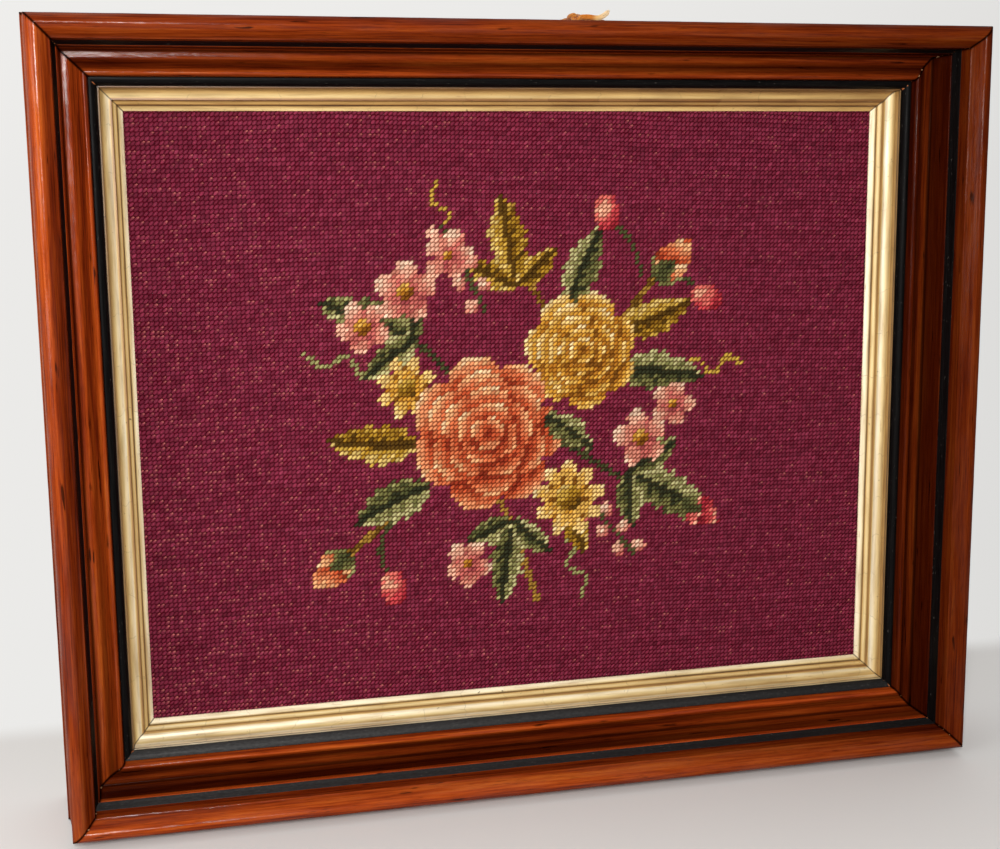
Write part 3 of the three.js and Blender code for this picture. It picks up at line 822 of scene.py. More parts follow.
def on_cloth(column, row):
    """Where a hole of the canvas lies across and up the cloth. The canvas is pulled askew: its rows
    fall to the right, and again in a bell round the left edge, and its columns lean."""
    x, z = column * pitch, row * row_pitch
    high = np.clip(z / sight_height + 0.5, 0, 1)
    at_edge = np.exp(-(((x - edge_fall_middle) / edge_fall_width) ** 2))
    fall = row_fall_share * x + edge_fall * at_edge * (0.5 + high)
    lean = column_lean_share * z * (0.3 + x / sight_width)
    waves = wander(x / mm, z / mm, 71, (83, 121, 190)) * cloth_unevenness
    return x + lean + 0.3 * waves, z - fall + waves


def shaded(palette, tone):
    """Colours of a tone from 0 to 1, in as many steps as the palette has wools."""
    return tint(palette)[np.clip((tone * len(palette)).astype(int), 0, len(palette) - 1)]


stitch_rng = np.random.default_rng(29)
dither = stitch_rng.uniform(-0.09, 0.09, columns.shape)
ground_streak = wander(worked[:, 0], 14 * worked[:, 1], 3, (37, 61, 150)) * 0.22 + 0.5
stitch_colour = shaded(ground_wools, ground_streak + 2.5 * dither)
picture_shown = np.zeros(len(columns), bool)


def work(mask, palette, tone):
    """Works the stitches of a mask over what is there."""
    stitch_colour[mask] = shaded(palette, tone + dither)[mask]
    picture_shown[mask] = True


def heading(degrees):
    """A direction on the cloth, by its angle up from the right."""
    return np.array([math.cos(math.radians(degrees)), math.sin(math.radians(degrees))])


def turned_place(x, z, degrees):
    """Each stitch's place along a direction from a point, and its place across it."""
    return (worked - (x, z)) @ heading(degrees), (worked - (x, z)) @ heading(degrees + 90)


def round_place(x, z, degrees=0):
    """Each stitch's distance from a point, its angle round it, and how far that faces the light."""
    along, across = turned_place(x, z, degrees)
    angle = np.arctan2(across, along)
    return np.hypot(along, across), angle, np.cos(angle + math.radians(degrees - light_degrees))


def rose(x, z, size, degrees, palette, shares=(1, 0.8, 0.6, 0.41, 0.22, 0)):
    """A full rose, worked from its outer ring of seven petals in. Each petal is dark where the next
    ring stands over it and between its neighbours, and light at its rim."""
    out, angle, lit = round_place(x, z, degrees)
    for i, petals in enumerate((7, 6, 5, 4, 3)):
        petal = np.abs(np.cos(petals / 2 * angle + 1.3 * i))
        rim = size * shares[i] * (0.8 + 0.2 * petal**0.6)
        within = 0.84 * size * shares[i + 1]
        rise = np.clip((out - within) / (rim - within), 0, 1)
        work(out < rim, palette, 0.06 + 0.82 * rise**1.2 * (0.4 + 0.6 * petal) + 0.12 * lit)


def daisy(x, z, size, degrees, petals, palette):
    """An open flower: petals light at their ends, a dark line between each two, a domed eye."""
    out, angle, lit = round_place(x, z, degrees)
    petal = np.abs(np.cos(petals / 2 * angle))
    work(out < size * (0.55 + 0.45 * petal**0.8), palette, 0.25 + 0.62 * out / size - 0.5 * (petal < 0.3))
    eye = out / (0.32 * size)
    work(eye < 1, mustard_wools, 0.5 + 0.45 * eye * lit)


def blossom(x, z, size, degrees):
    """A flower of five round petals, deeper pink towards the middle, with an ochre eye."""
    out, angle, lit = round_place(x, z, degrees)
    petal = np.abs(np.cos(2.5 * angle))
    tone = 0.12 + 0.75 * out / size * petal**0.4 + 0.12 * lit
    work(out < size * (0.55 + 0.45 * petal**0.6), pink_wools, tone)
    work(out < 0.26 * size, ochre_wools, 0.3 + 0.24 * lit)


def bud(x, z, length, width, degrees, palette):
    """A closed bud: petals wrapped round it, light at their edges, in a cup of pointed sepals."""
    along, across = turned_place(x, z, degrees)
    share, off = along / length, across / (width / 2)
    inside = np.clip(share, 0, 1)
    body = (share > 0) & (share < 1) & (np.abs(off) < np.sin(math.pi * inside**0.7) ** 0.7)
    work(body, palette, 0.18 + 0.72 * ((2.1 * inside + 0.42 * off) % 1) - 0.1 * off)
    work(body & (share < 0.2 + 0.3 * np.abs(np.cos(2.4 * off))), sage_wools, 0.25 + 0.5 * np.abs(off))


def hip(x, z, length, width, degrees, palette):
    """An oval hip or berry: its light falls off from a spot at the upper left."""
    along, across = turned_place(x, z, degrees)
    out = round_place(x - 0.18 * width, z + 0.18 * width)[0]
    work(np.hypot(along / length, across / width) < 0.5, palette, 0.98 - 1.9 * out / (length + width))


def leaf(x, z, length, width, degrees, palette, bend=0, teeth=6):
    """A leaf from its stalk to its tip: its half width is a sine of the share along it, nicked by
    teeth, with a dark middle vein and side veins, and one half lighter than the other."""
    along, off = turned_place(x, z, degrees)
    share = along / length
    off = off - bend * length * share * (1 - share)
    inside = np.clip(share, 0, 1)
    half = width / 2 * np.sin(math.pi * inside**0.8) ** 0.8 * (1 - 0.16 * ((inside * teeth) % 1 > 0.6))
    edge = np.abs(off) / np.maximum(half, 0.01)
    side_vein = (inside * teeth - 2.6 * np.abs(off) / width) % 1 > 0.72
    tone = 0.42 + 0.4 * edge + 0.16 * np.sign(off) - 0.26 * side_vein
    work((share > 0) & (share < 1) & (edge < 1), palette, np.where(np.abs(off) < 0.62, 0.06, tone))


def leaves(x, z, length, degrees, palette):
    """Three leaflets: one to each side, and one ahead, worked last."""
    for spread, share, ahead in ((58, 0.7, 0), (-58, 0.7, 0), (0, 1, 0.12)):
        foot = np.array([x, z]) + ahead * length * heading(degrees)
        leaf(*foot, share * length, 0.5 * share * length, degrees + spread, palette)


def stem(points, width, palette, tone=0.5):
    """A stem or tendril: the stitches within half its width of a smooth line."""
    line = evenly(smooth_line(points, 12), 0.5)
    near = np.linalg.norm(worked[:, None] - line, axis=-1).min(1)
    work(near < width / 2, palette, tone + 0 * near)


def tendril(x, z, length, degrees, palette):
    """A tendril: a wave along its direction whose height falls evenly to a third."""
    t = np.linspace(0, 1, 30)
    beside = 2.6 * (1 - 0.66 * t) * np.sin(3.4 * math.pi * t)
    wave = np.outer(length * t, heading(degrees)) + np.outer(beside, heading(degrees + 90))
    stem((x, z) + wave, 1.15, palette, 0.7)


def sprig(x, z, degrees, bells, palette):
    """A fine stem with small bells of a few stitches each, on either side of it in turn."""
    ahead, aside = heading(degrees), heading(degrees + 90)
    stem((x, z) + np.outer([0, 0.5, 1], ahead) * 3.1 * bells, 1.05, sage_wools, 0.3)
    for i in range(bells):
        hip(*((x, z) + 3.1 * (i + 0.9) * ahead + 2.3 * (-1) ** i * aside), 3.6, 3.2, degrees, palette)


# The spray, in stitches from the middle of the cloth: stems and leaves first, then the flowers.
stem([(-42, -34), (-30, -24), (-14, -10), (4, 2), (20, 15), (33, 30)], 1.7, twig_wools)
stem([(-38, 24), (-28, 18), (-16, 8), (-4, -2)], 1.5, sage_wools, 0.25)
stem([(42, -24), (30, -20), (16, -12), (2, -4)], 1.5, sage_wools, 0.25)
stem([(-2, 46), (0, 34), (6, 22), (8, 12)], 1.5, twig_wools)
stem([(4, -46), (0, -34), (-6, -20)], 1.5, twig_wools, 0.8)
stem([(30, 30), (27, 38), (22, 44)], 1.2, sage_wools, 0.3)
stem([(33, 30), (40, 30), (45, 26)], 1.2, sage_wools, 0.3)
stem([(-30, -24), (-34, -32), (-32, -40)], 1.2, sage_wools, 0.3)
tendril(-34, 9, 17, 168, sage_wools)
tendril(42, 8, 14, 10, mustard_wools)
tendril(11, -32, 15, 292, sage_wools)
tendril(-17, 38, 14, 104, mustard_wools)
leaves(-25, 16, 21, 158, sage_wools)
leaves(27, -16, 21, -28, sage_wools)
leaves(-1, 28, 19, 100, mustard_wools)
leaves(-2, -27, 18, 262, sage_wools)
leaf(-24, -8, 22, 10, 176, mustard_wools, 0.12)
leaf(-22, -18, 20, 10, 206, sage_wools, -0.1)
leaf(24, 8, 22, 10, -4, sage_wools, 0.12)
leaf(24, 18, 20, 9, 20, mustard_wools, -0.14)
leaf(12, 24, 20, 9, 66, sage_wools, 0.14)
leaf(8, -18, 20, 9, -66, mustard_wools, 0.12)
sprig(-8, 22, 118, 7, pink_wools)
sprig(14, -20, -48, 7, pink_wools)
bud(33, 29, 13, 9, 48, coral_wools)
bud(-41, -33, 12, 8.5, 222, coral_wools)
bud(41, -24, 11, 8, -30, rose_wools)
for x, z, turn in ((21, 45, 100), (46, 25, -20), (-31, -42, 280)):
    hip(x, z, 8.6, 6.4, turn, rose_wools)
for x, z, size, turn in ((-27, 27, 7.4, 15), (-37, 19, 6.2, 50), (-17, 35, 5.8, 80),
                         (30, -8, 7.0, 30), (38, 0, 5.6, 0), (-13, -37, 5.8, 60)):
    blossom(x, z, size, turn)
daisy(12, -22, 9.4, 10, 9, ochre_wools)
daisy(-27, 5, 7.4, 25, 8, ochre_wools)
rose(15, 13, 14, 20, ochre_wools)
rose(-8, -6, 18.5, 0, coral_wools)
leaf(6, -2, 15, 7, -35, sage_wools, 0.1, 4)

canvas_front = cloth_face + 0.95 * mm
stitch_length_share = 0.55
ground_half_width = 1.06 * mm
picture_half_width = 0.98 * mm
ground_inset_share = 0.08
picture_inset_share = 0.12
under_liner = 1.2 * mm
stitch_height = 0.9 * mm
tip_depth = 0.1 * mm
jog = 0.045 * mm
width_spread = 0.1
height_spread = 0.13
brightness_spread = 0.12
ring_shares = np.array([-0.78, 0, 0.78])
strand_sides = 5
points_each = len(ring_shares) * strand_sides + 2


def strands(start, end, half_width, height):
    """A closed strand for each stitch, by its points' places on the object. Its middle line rises
    and falls as one minus the square of the share along it, and each ring round it is an ellipse,
    drawn in towards the tips."""
    middle, reach = (start + end) / 2, (end - start) * stitch_length_share
    across = unit(reach)[:, ::-1] * (-1, 1)
    angle = even_angles(strand_sides) + math.pi / 2
    bulge = (1 - ring_shares**2)[:, None]
    swell = bulge**0.4
    wide = half_width[:, None, None] * swell * np.cos(angle)
    ring_middle = middle[:, None] + ring_shares[:, None] * reach[:, None]
    flat = ring_middle[:, :, None] + wide[..., None] * across[:, None, None]
    high = height[:, None, None] * (0.5 * bulge + 0.1 + 0.42 * swell * np.sin(angle))
    tips = np.stack([middle - reach, middle + reach], 1)
    flat = np.concatenate([flat.reshape(len(start), -1, 2), tips], 1)
    high = np.concatenate([high.reshape(len(start), -1), np.full((len(start), 2), -tip_depth)], 1)
    return np.stack([flat[..., 0], canvas_front - high, flat[..., 1] + sight_middle], -1)


corner = np.arange(strand_sides)
beside = (corner + 1) % strand_sides
last_ring = (len(ring_shares) - 1) * strand_sides
first_tip = np.full(strand_sides, points_each - 2)
tip_faces = np.concatenate([
    np.stack([first_tip, corner, beside], -1),
    np.stack([first_tip + 1, beside + last_ring, corner + last_ring], -1),
])
band_faces = rings_joined(len(ring_shares), strand_sides)[0][:, ::-1]

inset = np.where(picture_shown, picture_inset_share, ground_inset_share)
starts = np.column_stack(on_cloth(columns, rows + inset))
ends = np.column_stack(on_cloth(columns + 1, rows + 1 - inset))
reach_of_cloth = np.array([sight_width, sight_height]) / 2 + under_liner
shown = (np.abs((starts + ends) / 2) < reach_of_cloth).all(1)
starts, ends = starts[shown], ends[shown]
colours, in_picture = stitch_colour[shown], picture_shown[shown]
count = len(starts)
start_jog, end_jog = stitch_rng.normal(0, jog, (2, count, 2))
half_widths = np.where(in_picture, picture_half_width, ground_half_width)
half_widths = half_widths * stitch_rng.normal(1, width_spread, count)
heights = stitch_height * np.clip(stitch_rng.normal(1, height_spread, count), 0.6, 1.05)
stitch_places = strands(starts + start_jog, ends + end_jog, half_widths, heights)
brightness = np.clip(stitch_rng.normal(1, brightness_spread, (count, 1)), 0.7, 1.3)

# Painted shade: the wool's colour is darkened down its sides and at its tips towards a deep shade
# of itself, and left light along its crown.
ground_shade = np.array([0.52, 0.06, 0.2])
picture_shade = np.array([0.4, 0.3, 0.26])
painted_shade_round = np.array([0, 0.12, 0.65, 0.65, 0.12])
painted_shade_along = np.array([0.15, 0, 0.08])
painted_shade = np.append(np.clip(painted_shade_along[:, None] + painted_shade_round, 0, 1), [1, 1])[:, None]
crown_colour = (colours * brightness)[:, None]
depth = np.where(in_picture[:, None], picture_shade, ground_shade)[:, None]
point_colour = crown_colour * (1 - painted_shade + depth * painted_shade)

# Painted highlights: pale fibres of the wool catch the light at the upper end of many stitches,
# painted into the stitch's colour. They come in streaks along the rows, most of them towards the
# left and lower left.
pale_fibre_highlight = tint((216, 128, 116))
streak = wander(columns[shown], 9.3 * rows[shown], 8, (23, 47, 90))
to_left = np.exp(-(((starts[:, 0] / sight_width + 0.55) / 0.3) ** 2))
to_lower_left = to_left * (1 - 0.6 * starts[:, 1] / sight_height)
pale_chance = 0.02 + 0.22 * np.clip(streak + 0.15, 0, 1) + 0.2 * to_lower_left
pale = (stitch_rng.uniform(0, 1, count) < pale_chance) & ~in_picture
paleness = stitch_rng.uniform(0.15, 0.8, count) * pale
upper_end = np.zeros(points_each)
upper_end[[5, 10, 11, 14]] = 0.1, 1, 0.2, 0.2
pale_share = (paleness[:, None] * upper_end)[..., None]
point_colour = point_colour * (1 - pale_share) + pale_share * pale_fibre_highlight

wool, wool_shader = finish_named("wool", {"Roughness": 0.92, "Specular IOR Level": 0.1})
yarn = mottle(wool, places_of(wool), (2400, 2400, 2400))
feed(wool, wool_shader, {
    "Base Color": times(wool, carried(wool, "dye_and_shade", "Color"), ramp(wool, yarn, [(0.3, 0.78), (0.7, 1.12)])),
    "Normal": raised(wool, yarn, 0.15 * mm, 0.8),
})
panels = 6
map_margin_share = 0.005
panel_of = np.clip(((starts[:, 0] / sight_width + 0.5) * panels).astype(int), 0, panels - 1)


def carried_colours(colours):
    """Colours with a fourth value of one, as a mesh carries them."""
    return np.concatenate([colours, np.ones((*colours.shape[:-1], 1))], -1)


for panel in range(panels):
    mine = panel_of == panel
    places = stitch_places[mine]
    panel_faces = repeated([tip_faces, band_faces], len(places), points_each)
    piece = made_piece(f"stitches_{panel + 1}", "needlework", "frame", "wool", wool, places, panel_faces,
                       {"dye_and_shade": carried_colours(point_colour[mine])}, 180)
    numbers = np.empty(len(piece.data.loops), np.int32)
    piece.data.loops.foreach_get("vertex_index", numbers)
    spread = places.reshape(-1, 3)[numbers][:, [0, 2]]
    spread = (spread - spread.min(0)) / (spread.max(0) - spread.min(0)).max()
    laid_out = map_margin_share + (1 - 2 * map_margin_share) * spread
    piece.data.uv_layers.new(name="OFBake").data.foreach_set("uv", laid_out.astype(np.float32).ravel())

# Canvas. An open cotton canvas that the wool is worked on, ten threads to the inch, stretched
# over the strainer bars. Its colour is painted shade, a dark copy of the wool's colour round each
# hole that stands for the shadow between the stitches, and little of it shows.
canvas_low, canvas_high = np.array(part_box("needlework"))
canvas_thickness = 0.5 * mm


def closed_sheet(front, back):
    """A closed shape between two grids of points of the same size, joined by an edge."""
    rows, columns = front.shape[:2]
    number = np.arange(rows * columns).reshape(rows, columns)
    corners = [number[:-1, :-1], number[:-1, 1:], number[1:, 1:], number[1:, :-1]]
    quads = np.stack(corners, -1).reshape(-1, 4)
    rim = np.concatenate([number[0, :-1], number[:-1, -1], number[-1, :0:-1], number[:0:-1, 0]])
    after, behind = np.roll(rim, -1), rows * columns
    edge = np.stack([after, rim, rim + behind, after + behind], -1)
    places = np.concatenate([front.reshape(-1, 3), back.reshape(-1, 3)])
    return places, [quads, quads[:, ::-1] + behind, edge]


hole_columns, hole_rows = np.arange(-half_columns, half_columns + 1), np.arange(-half_rows, half_rows + 1)
x, z = on_cloth(*np.meshgrid(hole_columns, hole_rows))
x[:, 0], x[:, -1] = canvas_low[0], canvas_high[0]
x = np.clip(x, canvas_low[0], canvas_high[0])
z = z + sight_middle
z[0], z[-1] = canvas_low[2], canvas_high[2]
z = np.clip(z, canvas_low[2], canvas_high[2])
places, faces = closed_sheet(*[
    np.stack([x, np.full_like(x, y), z], -1) for y in (canvas_front, canvas_front + canvas_thickness)
])
shaded_stitch = stitch_colour * np.where(picture_shown[:, None], picture_shade, ground_shade)
shaded_stitch = shaded_stitch.reshape(2 * half_rows, 2 * half_columns, 3)
around_hole = np.pad(shaded_stitch, ((1, 1), (1, 1), (0, 0)), "edge")
hole_shade_colour = ((around_hole[1:, 1:] + around_hole[:-1, :-1]) / 2).reshape(-1, 3)

canvas_cotton, canvas_shader = finish_named("canvas_cotton", {
    "Roughness": 0.95, "Specular IOR Level": 0.05,
})
thread = scaled(canvas_cotton, places_of(canvas_cotton), (1 / pitch,) * 3)
thread_axes = node(canvas_cotton, "SeparateXYZ", {"Vector": thread}).outputs
across_it = reckoned(canvas_cotton, "PINGPONG", thread_axes["X"], 0.5)
down_it = reckoned(canvas_cotton, "PINGPONG", thread_axes["Z"], 0.5)
mesh_share = reckoned(canvas_cotton, "MAXIMUM", across_it, down_it)
thread_tone = ramp(canvas_cotton, mesh_share, [(0.2, 0.7), (0.48, 1)])
feed(canvas_cotton, canvas_shader, {
    "Base Color": times(canvas_cotton, carried(canvas_cotton, "dye_and_shade", "Color"), thread_tone),
    "Normal": raised(canvas_cotton, mesh_share, 0.4 * mm),
})
canvas = made_piece("canvas", "needlework", "frame", "wool", canvas_cotton, places, faces,
                    {"dye_and_shade": carried_colours(np.tile(hole_shade_colour, (2, 1)))})

# Strainer bars. Four lengths of bare planed pine, mitred, that the canvas is stretched over. They
# keep the shape of their solids, because the canvas and the boards hide them.
pine, pine_shader = finish_named("bare_pine", {"Roughness": 0.75})
pine_rings = mottle(pine, places_of(pine), (60, 300, 60), 3)
feed(pine, pine_shader, {
    "Base Color": ramp(pine, pine_rings, [(0.35, (176, 130, 80)), (0.65, (214, 176, 124))]),
    "Normal": raised(pine, pine_rings, 0.1 * mm),
})
for side in sides:
    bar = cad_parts[f"strainer_{side}"].data
    bar.materials.clear()
    bar.materials.append(pine)

# Backing board. Three thin, aged pine boards, edge to edge, laid in the rebate behind the
# strainer and held by the turn buttons.
board_low, board_high = np.array(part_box("backing_board"))
board_height = board_high[2] - board_low[2]
boards = 3
joint_width = 0.9 * mm
joint_depth = 0.7 * mm
next_board = np.array([1, 0, 0.37])
aged, aged_shader = finish_named("aged_board", {"Roughness": 0.8})
in_board = carried(aged, "grain", "Vector")
board_rings = mottle(aged, in_board, (3, 7, 95), 5, 0.8)
board_pores = mottle(aged, in_board, (22, 60, 900), 4)
feed(aged, aged_shader, {
    "Base Color": times(
        aged,
        ramp(aged, board_rings, [
            (0.34, (104, 70, 40)), (0.46, (146, 106, 64)), (0.52, (160, 120, 76)), (0.64, (186, 148, 102)),
        ]),
        ramp(aged, board_pores, [(0.36, 0.62), (0.52, 1)]),
        patches(aged, in_board, (9, 9, 9), 3, [(0.4, 0.8), (0.65, 1)]),
        ramp(aged, carried(aged, "joint"), [(0.1, 1), (0.8, 0.18)]),
    ),
    "Normal": raised(aged, board_pores, 0.1 * mm),
})
by_joint = np.linspace(-3, 3, 13) * joint_width / board_height
shares_up = np.unique(np.concatenate([np.linspace(0, 1, 19), 1 / boards + by_joint, 2 / boards + by_joint]))
x, share = np.meshgrid(np.linspace(board_low[0], board_high[0], 25), shares_up)
z = board_low[2] + share * board_height
in_boards = share * boards
# A joint is a groove, as deep as a narrow bell round each place where two boards meet.
from_joint = np.abs(in_boards - np.clip(np.round(in_boards), 1, boards - 1)) * board_height / boards
joint_share = np.exp(-((from_joint / joint_width) ** 2))
back_face = np.stack([x, board_high[1] - joint_depth * joint_share, z], -1)
places, faces = closed_sheet(back_face, np.stack([x, np.full_like(x, board_low[1]), z], -1))
board_number = np.tile(np.clip(np.floor(in_boards), 0, boards - 1).ravel(), 2)
made_piece("backing_boards", "backing_board", "frame", "board", aged, places, faces, {
    "grain": places + board_number[:, None] * next_board,
    "joint": np.append(joint_share, 0 * joint_share),
})

# Turn buttons. Six flat brass plates with round ends and soft edges. Each is free to turn on its
# screw, and one end of it lies over the edge of the backing boards.
brass, brass_shader = finish_named("dull_brass", {"Metallic": 1, "Roughness": 0.4})
tarnish = mottle(brass, places_of(brass), (210, 210, 210), 4)
scratches = mottle(brass, places_of(brass), (300, 300, 3600), 3)
brass_stops = [(0.32, (112, 80, 40)), (0.47, (172, 130, 64)), (0.68, (208, 170, 98))]
feed(brass, brass_shader, {
    "Base Color": ramp(brass, tarnish, brass_stops),
    "Roughness": ramp(brass, tarnish, [(0.3, 0.62), (0.6, 0.36)]),
    "Normal": raised(brass, scratches, 0.03 * mm, 0.5),
})
button_count = 6
screw_hole_radius = 1.9 * mm
plate_spokes = 48
plate_shares = np.array([
    (0, 0.12), (0.03, 0), (0.45, 0), (0.9, 0), (0.97, 0.1), (1, 0.35),
    (1, 0.65), (0.97, 0.88), (0.9, 1), (0.45, 1), (0.03, 1), (0, 0.88),
])


def button_plate(low, high):
    """A plate with round ends, laid along its box. Every spoke of it runs from the hole's circle to
    the half circle round an end, and back, as plate_shares say of its reach and thickness."""
    size = high - low
    lengthwise = 0 if size[0] > size[2] else 2
    end_radius = min(size[0], size[2]) / 2
    angle = even_angles(plate_spokes) + math.pi / plate_spokes
    circle = np.column_stack([np.cos(angle), np.sin(angle)])
    rim = end_radius * circle
    rim[:, 0] += np.sign(circle[:, 0]) * (max(size[0], size[2]) / 2 - end_radius)
    hole = screw_hole_radius * circle
    flat = hole[:, None] + (rim - hole)[:, None] * plate_shares[None, :, :1]
    places = np.empty((*flat.shape[:2], 3))
    places[..., lengthwise], places[..., 2 - lengthwise] = flat[..., 0], flat[..., 1]
    places[..., 1] = (plate_shares[:, 1] - 0.5) * size[1]
    return places + (low + high) / 2


for number in range(1, button_count + 1):
    places = button_plate(*np.array(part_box(f"turn_button_{number}")))
    made_piece(f"button_plate_{number}", f"turn_button_{number}", f"button_{number}", "brass", brass,
               places, rings_joined(*places.shape[:2], True))

# Turn button screws. Steel wood screws with round, slotted heads, a little rusted, that go through
# the buttons into the moulding.
steel, steel_shader = finish_named("rusted_steel", {"Metallic": 1, "Roughness": 0.42})
rust = mottle(steel, places_of(steel), (420, 420, 420), 4)
steel_stops = [(0.36, (92, 58, 38)), (0.46, (126, 120, 114)), (0.7, (168, 164, 158))]
feed(steel, steel_shader, {
    "Base Color": ramp(steel, rust, steel_stops),
    "Roughness": ramp(steel, rust, [(0.36, 0.75), (0.5, 0.36)]),
    "Normal": raised(steel, rust, 0.05 * mm, 0.5),
})
screw_shank_radius = 1.6 * mm
screw_head_height = 1.7 * mm
shank_in_head = 0.3 * mm
screw_points = 60
screw_around = 16
screw_thread = 1.4 * mm
thread_from = 3 * mm
thread_depth_share = 0.24
slot_share = 0.15
slot_wall_share = 0.012
slot_floor_share = 0.42
slot_turn_degrees = 47


def gathered(*shapes):
    """Several closed shapes as one mesh's points and corner numbers."""
    places, faces, count = [], [], 0
    for shape, corners in shapes:
        shape = shape.reshape(-1, 3)
        places.append(shape)
        faces += [face + count for face in outward(shape, corners)]
        count += len(shape)
    return np.concatenate(places), faces


def screw_head(middle, radius, turn):
    """A slotted dome. The lines of a square grid are squeezed into a circle, the dome's height is
    the root of one less nine tenths of the square of the distance, and the slot is cut along it."""
    outer = -np.cos(np.linspace(0.05, math.pi / 2, 9))[:-1] * (1 - slot_share) - slot_share
    left = np.concatenate([outer, [-slot_share - slot_wall_share, -slot_share + slot_wall_share]])
    u = np.concatenate([left, [0], -left[::-1]])[:, None]
    v = np.linspace(-1, 1, 21)[None, :] * np.sqrt(1 - u**2)
    u = np.broadcast_to(u, v.shape)
    height = np.sqrt(1 - 0.9 * (u**2 + v**2))
    height = np.where(np.abs(u) < slot_share, np.minimum(height, slot_floor_share), height)
    x = radius * (u * math.cos(turn) - v * math.sin(turn))
    z = radius * (u * math.sin(turn) + v * math.cos(turn))
    domed = np.stack([x, screw_head_height * height, z], -1) + middle
    return closed_sheet(domed, np.stack([x, 0 * x, z], -1) + middle)


def threaded(line, radius, thread_from, around):
    """A rod whose radius falls in a screw line: by the thread's share of it, halfway between each
    two crests, from the place along it where the thread begins."""
    angle = even_angles(around)
    along = lengths_along(line)[:, None]
    wave = 0.5 - 0.5 * np.cos(angle - 2 * math.pi * along / screw_thread)
    out = radius * (1 - thread_depth_share * wave * np.clip((along - thread_from) / mm, 0, 1))
    places = line[:, None] + out[..., None] * away_from(line, angle, (0, 0, 1))
    return places, rings_joined(len(line), around)


for number in range(1, button_count + 1):
    solid = f"turn_button_screw_{number}"
    low, high = np.array(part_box(solid))
    base = (low + high) / 2
    base[1] = high[1] - screw_head_height
    rod = np.linspace(base + (0, shank_in_head, 0), base * (1, 0, 1) + low * (0, 1, 0), screw_points)
    head = screw_head(base, (high[0] - low[0]) / 2, math.radians(slot_turn_degrees) * number)
    made_piece(f"screw_{number}", solid, "frame", "steel", steel,
               *gathered(head, threaded(rod, screw_shank_radius, thread_from, screw_around)))

# Screw eyes. Brass wire, bent into a ring that is left open beside its threaded shank, which is
# screwed into the upright moulding from inside the recess at the back.
eye_ring_radius = 3.3 * mm
eye_wire_radius = 0.8 * mm
eye_shank_radius = 1.1 * mm
eye_open_degrees = 34
eye_shut_degrees = 8
eye_neck = [(4.1 * mm, 0.5 * mm), (5.2 * mm, 0)]
eye_swell = 3 * mm
eye_thread_from = 4 * mm
eye_step = 0.35 * mm
eye_around = 12
for side, hand in (("left", -1), ("right", 1)):
    low, high = np.array(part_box(f"screw_eye_{side}"))
    inner_x, outer_x = (high[0], low[0]) if hand < 0 else (low[0], high[0])
    ring_middle = (low + high) / 2
    ring_middle[0] = inner_x + hand * (eye_ring_radius + eye_wire_radius)
    bend = np.radians(np.linspace(-eye_open_degrees, eye_open_degrees + eye_shut_degrees - 360, 24))
    ring = ring_middle + eye_ring_radius * np.column_stack([hand * np.cos(bend), np.sin(bend), 0 * bend])
    neck = [ring_middle + (hand * across, up, 0) for across, up in eye_neck]
    tip = ring_middle * (0, 1, 1) + (outer_x, 0, 0)
    wire = evenly(smooth_line([*ring, *neck, (neck[-1] + tip) / 2, tip], 6), eye_step)
    ring_end = eye_ring_radius * (bend[0] - bend[-1])
    swelling = (ring_end, ring_end + eye_swell)
    radii = np.interp(lengths_along(wire), swelling, (eye_wire_radius, eye_shank_radius))
    made_piece(f"eye_{side}", f"screw_eye_{side}", "frame", "brass", brass,
               *threaded(wire, radii[:, None], ring_end + eye_thread_from, eye_around))

# Floor, light and world. A pale floor that fades into the wall behind the frame, a lamp in front
# and one on the left, and a room that is paler behind the frame, above it and to the left.
floor_half = 30.0
floor_level = cad_low.z - 0.2 * mm
wall_from, wall_to = 0.09, 0.13
far_from, far_to = 0.42, 0.8
room_base = 0.22
room_shares = (("X", -1, 0.16), ("Y", 1, 0.6), ("Z", 1, 0.3))
room_colour = (255, 253.9, 251.6)
floor_colour = (228.5, 227.2, 225.9)
room_middle = (-0.215, -0.869, 0)


def room_strength(material, toward):
    """How bright the room is in a direction: a base, and a share of how far it points to the left,
    to the back and up."""
    axes = node(material, "SeparateXYZ", {"Vector": toward}).outputs
    strength = room_base
    for axis, way, share in room_shares:
        part = reckoned(material, "MULTIPLY", axes[axis], way, clamp=True)
        strength = reckoned(material, "MULTIPLY_ADD", part, share, strength)
    return strength


def from_to(material, value, start, end):
    """A value's share of the way from start to end, from 0 to 1."""
    sockets = {"Value": value, "From Min": start, "From Max": end}
    return node(material, "MapRange", sockets, interpolation_type="SMOOTHSTEP").outputs["Result"]


def lamp(name, place, target, size, power, colour):
    """A flat lamp, as wide and as high as size, turned to a point."""
    light = bpy.data.lights.new(name, "AREA")
    light.shape, light.energy, light.color = "RECTANGLE", power, colour
    light.size, light.size_y = size
    made = bpy.data.objects.new(name, light)
    made.location = place
    aim = np.array(target) - np.array(place)
    made.rotation_euler = (math.atan2(np.hypot(aim[0], aim[1]), -aim[2]), 0, math.atan2(-aim[0], aim[1]))
    bpy.context.scene.collection.objects.link(made)


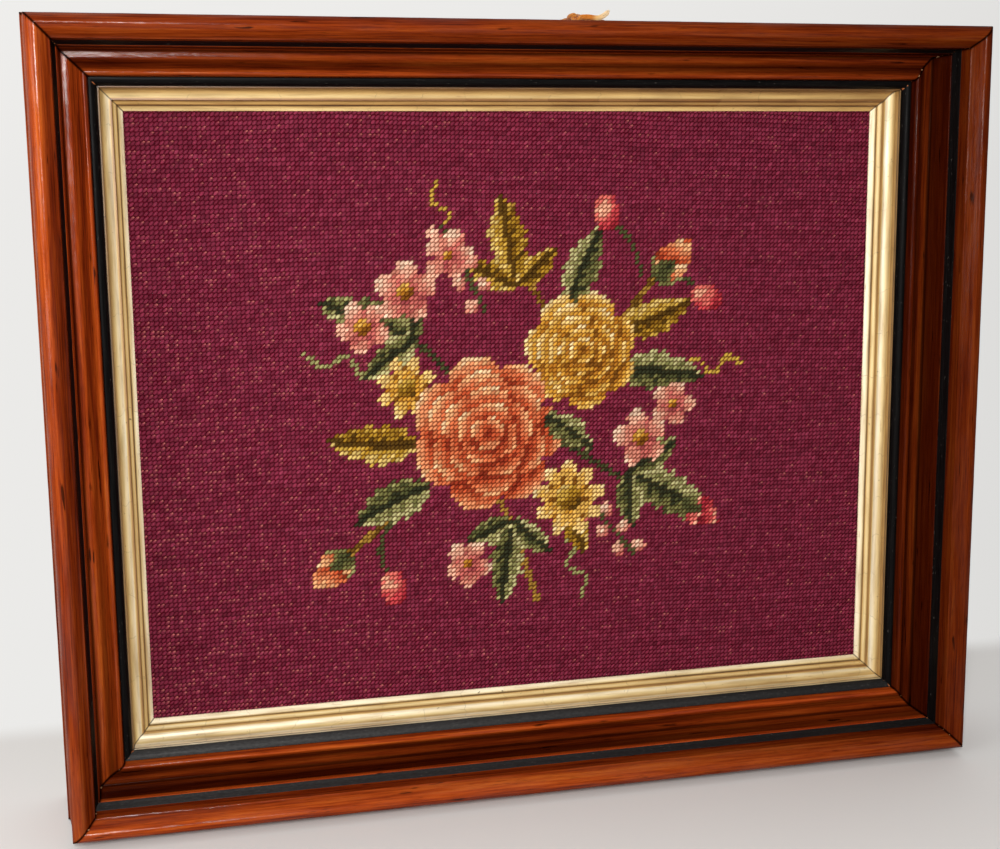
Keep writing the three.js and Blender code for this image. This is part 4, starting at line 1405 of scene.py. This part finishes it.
pale, pale_shader = finish_named("pale_floor", {"Roughness": 0.9, "Base Color": floor_colour})
on_floor = scaled(pale, places_of(pale), (1, 1, 0))
from_middle = node(pale, "VectorMath", {0: on_floor, 1: room_middle}, operation="SUBTRACT").outputs[0]
outwards = node(pale, "VectorMath", {0: from_middle}, operation="NORMALIZE").outputs[0]
far_off = node(pale, "VectorMath", {0: on_floor}, operation="LENGTH").outputs["Value"]
back_of = node(pale, "SeparateXYZ", {"Vector": on_floor}).outputs["Y"]
behind, beyond = from_to(pale, back_of, wall_from, wall_to), from_to(pale, far_off, far_from, far_to)
ray = node(pale, "LightPath").outputs
seen = reckoned(pale, "ADD", ray["Is Camera Ray"], ray["Is Glossy Ray"])
seen = reckoned(pale, "ADD", seen, ray["Is Transmission Ray"], clamp=True)
as_wall = reckoned(pale, "MULTIPLY", reckoned(pale, "MAXIMUM", behind, beyond), seen)
glow = node(pale, "Emission", {"Color": room_colour, "Strength": room_strength(pale, outwards)})
floor_or_wall = node(pale, "MixShader", {0: as_wall, 1: pale_shader.outputs[0], 2: glow.outputs[0]})
feed(pale, pale.node_tree.nodes["Material Output"], {"Surface": floor_or_wall.outputs[0]})
floor_mesh = bpy.data.meshes.new("floor")
floor_corners = [(-1, -1), (1, -1), (1, 1), (-1, 1)]
floor_mesh.from_pydata([(x * floor_half, y * floor_half, floor_level) for x, y in floor_corners], [],
                       [(0, 1, 2, 3)])
floor_mesh.materials.append(pale)
floor = bpy.data.objects.new("floor", floor_mesh)
bpy.context.scene.collection.objects.link(floor)

lamp("front_lamp", (-0.28, -1.0, 0.06), (0, 0, -0.22), (0.1, 0.26), 8.6, (1, 0.985, 0.96))
lamp("left_lamp", (-1.0, -0.7, -0.05), (-0.15, -0.05, -0.22), (0.5, 0.5), 4.2, (1, 0.97, 0.93))

world = bpy.data.worlds.new("room")
bpy.context.scene.world = world
world.use_nodes = True
toward = node(world, "TexCoord").outputs["Generated"]
feed(world, world.node_tree.nodes["Background"], {
    "Color": room_colour, "Strength": room_strength(world, toward),
})
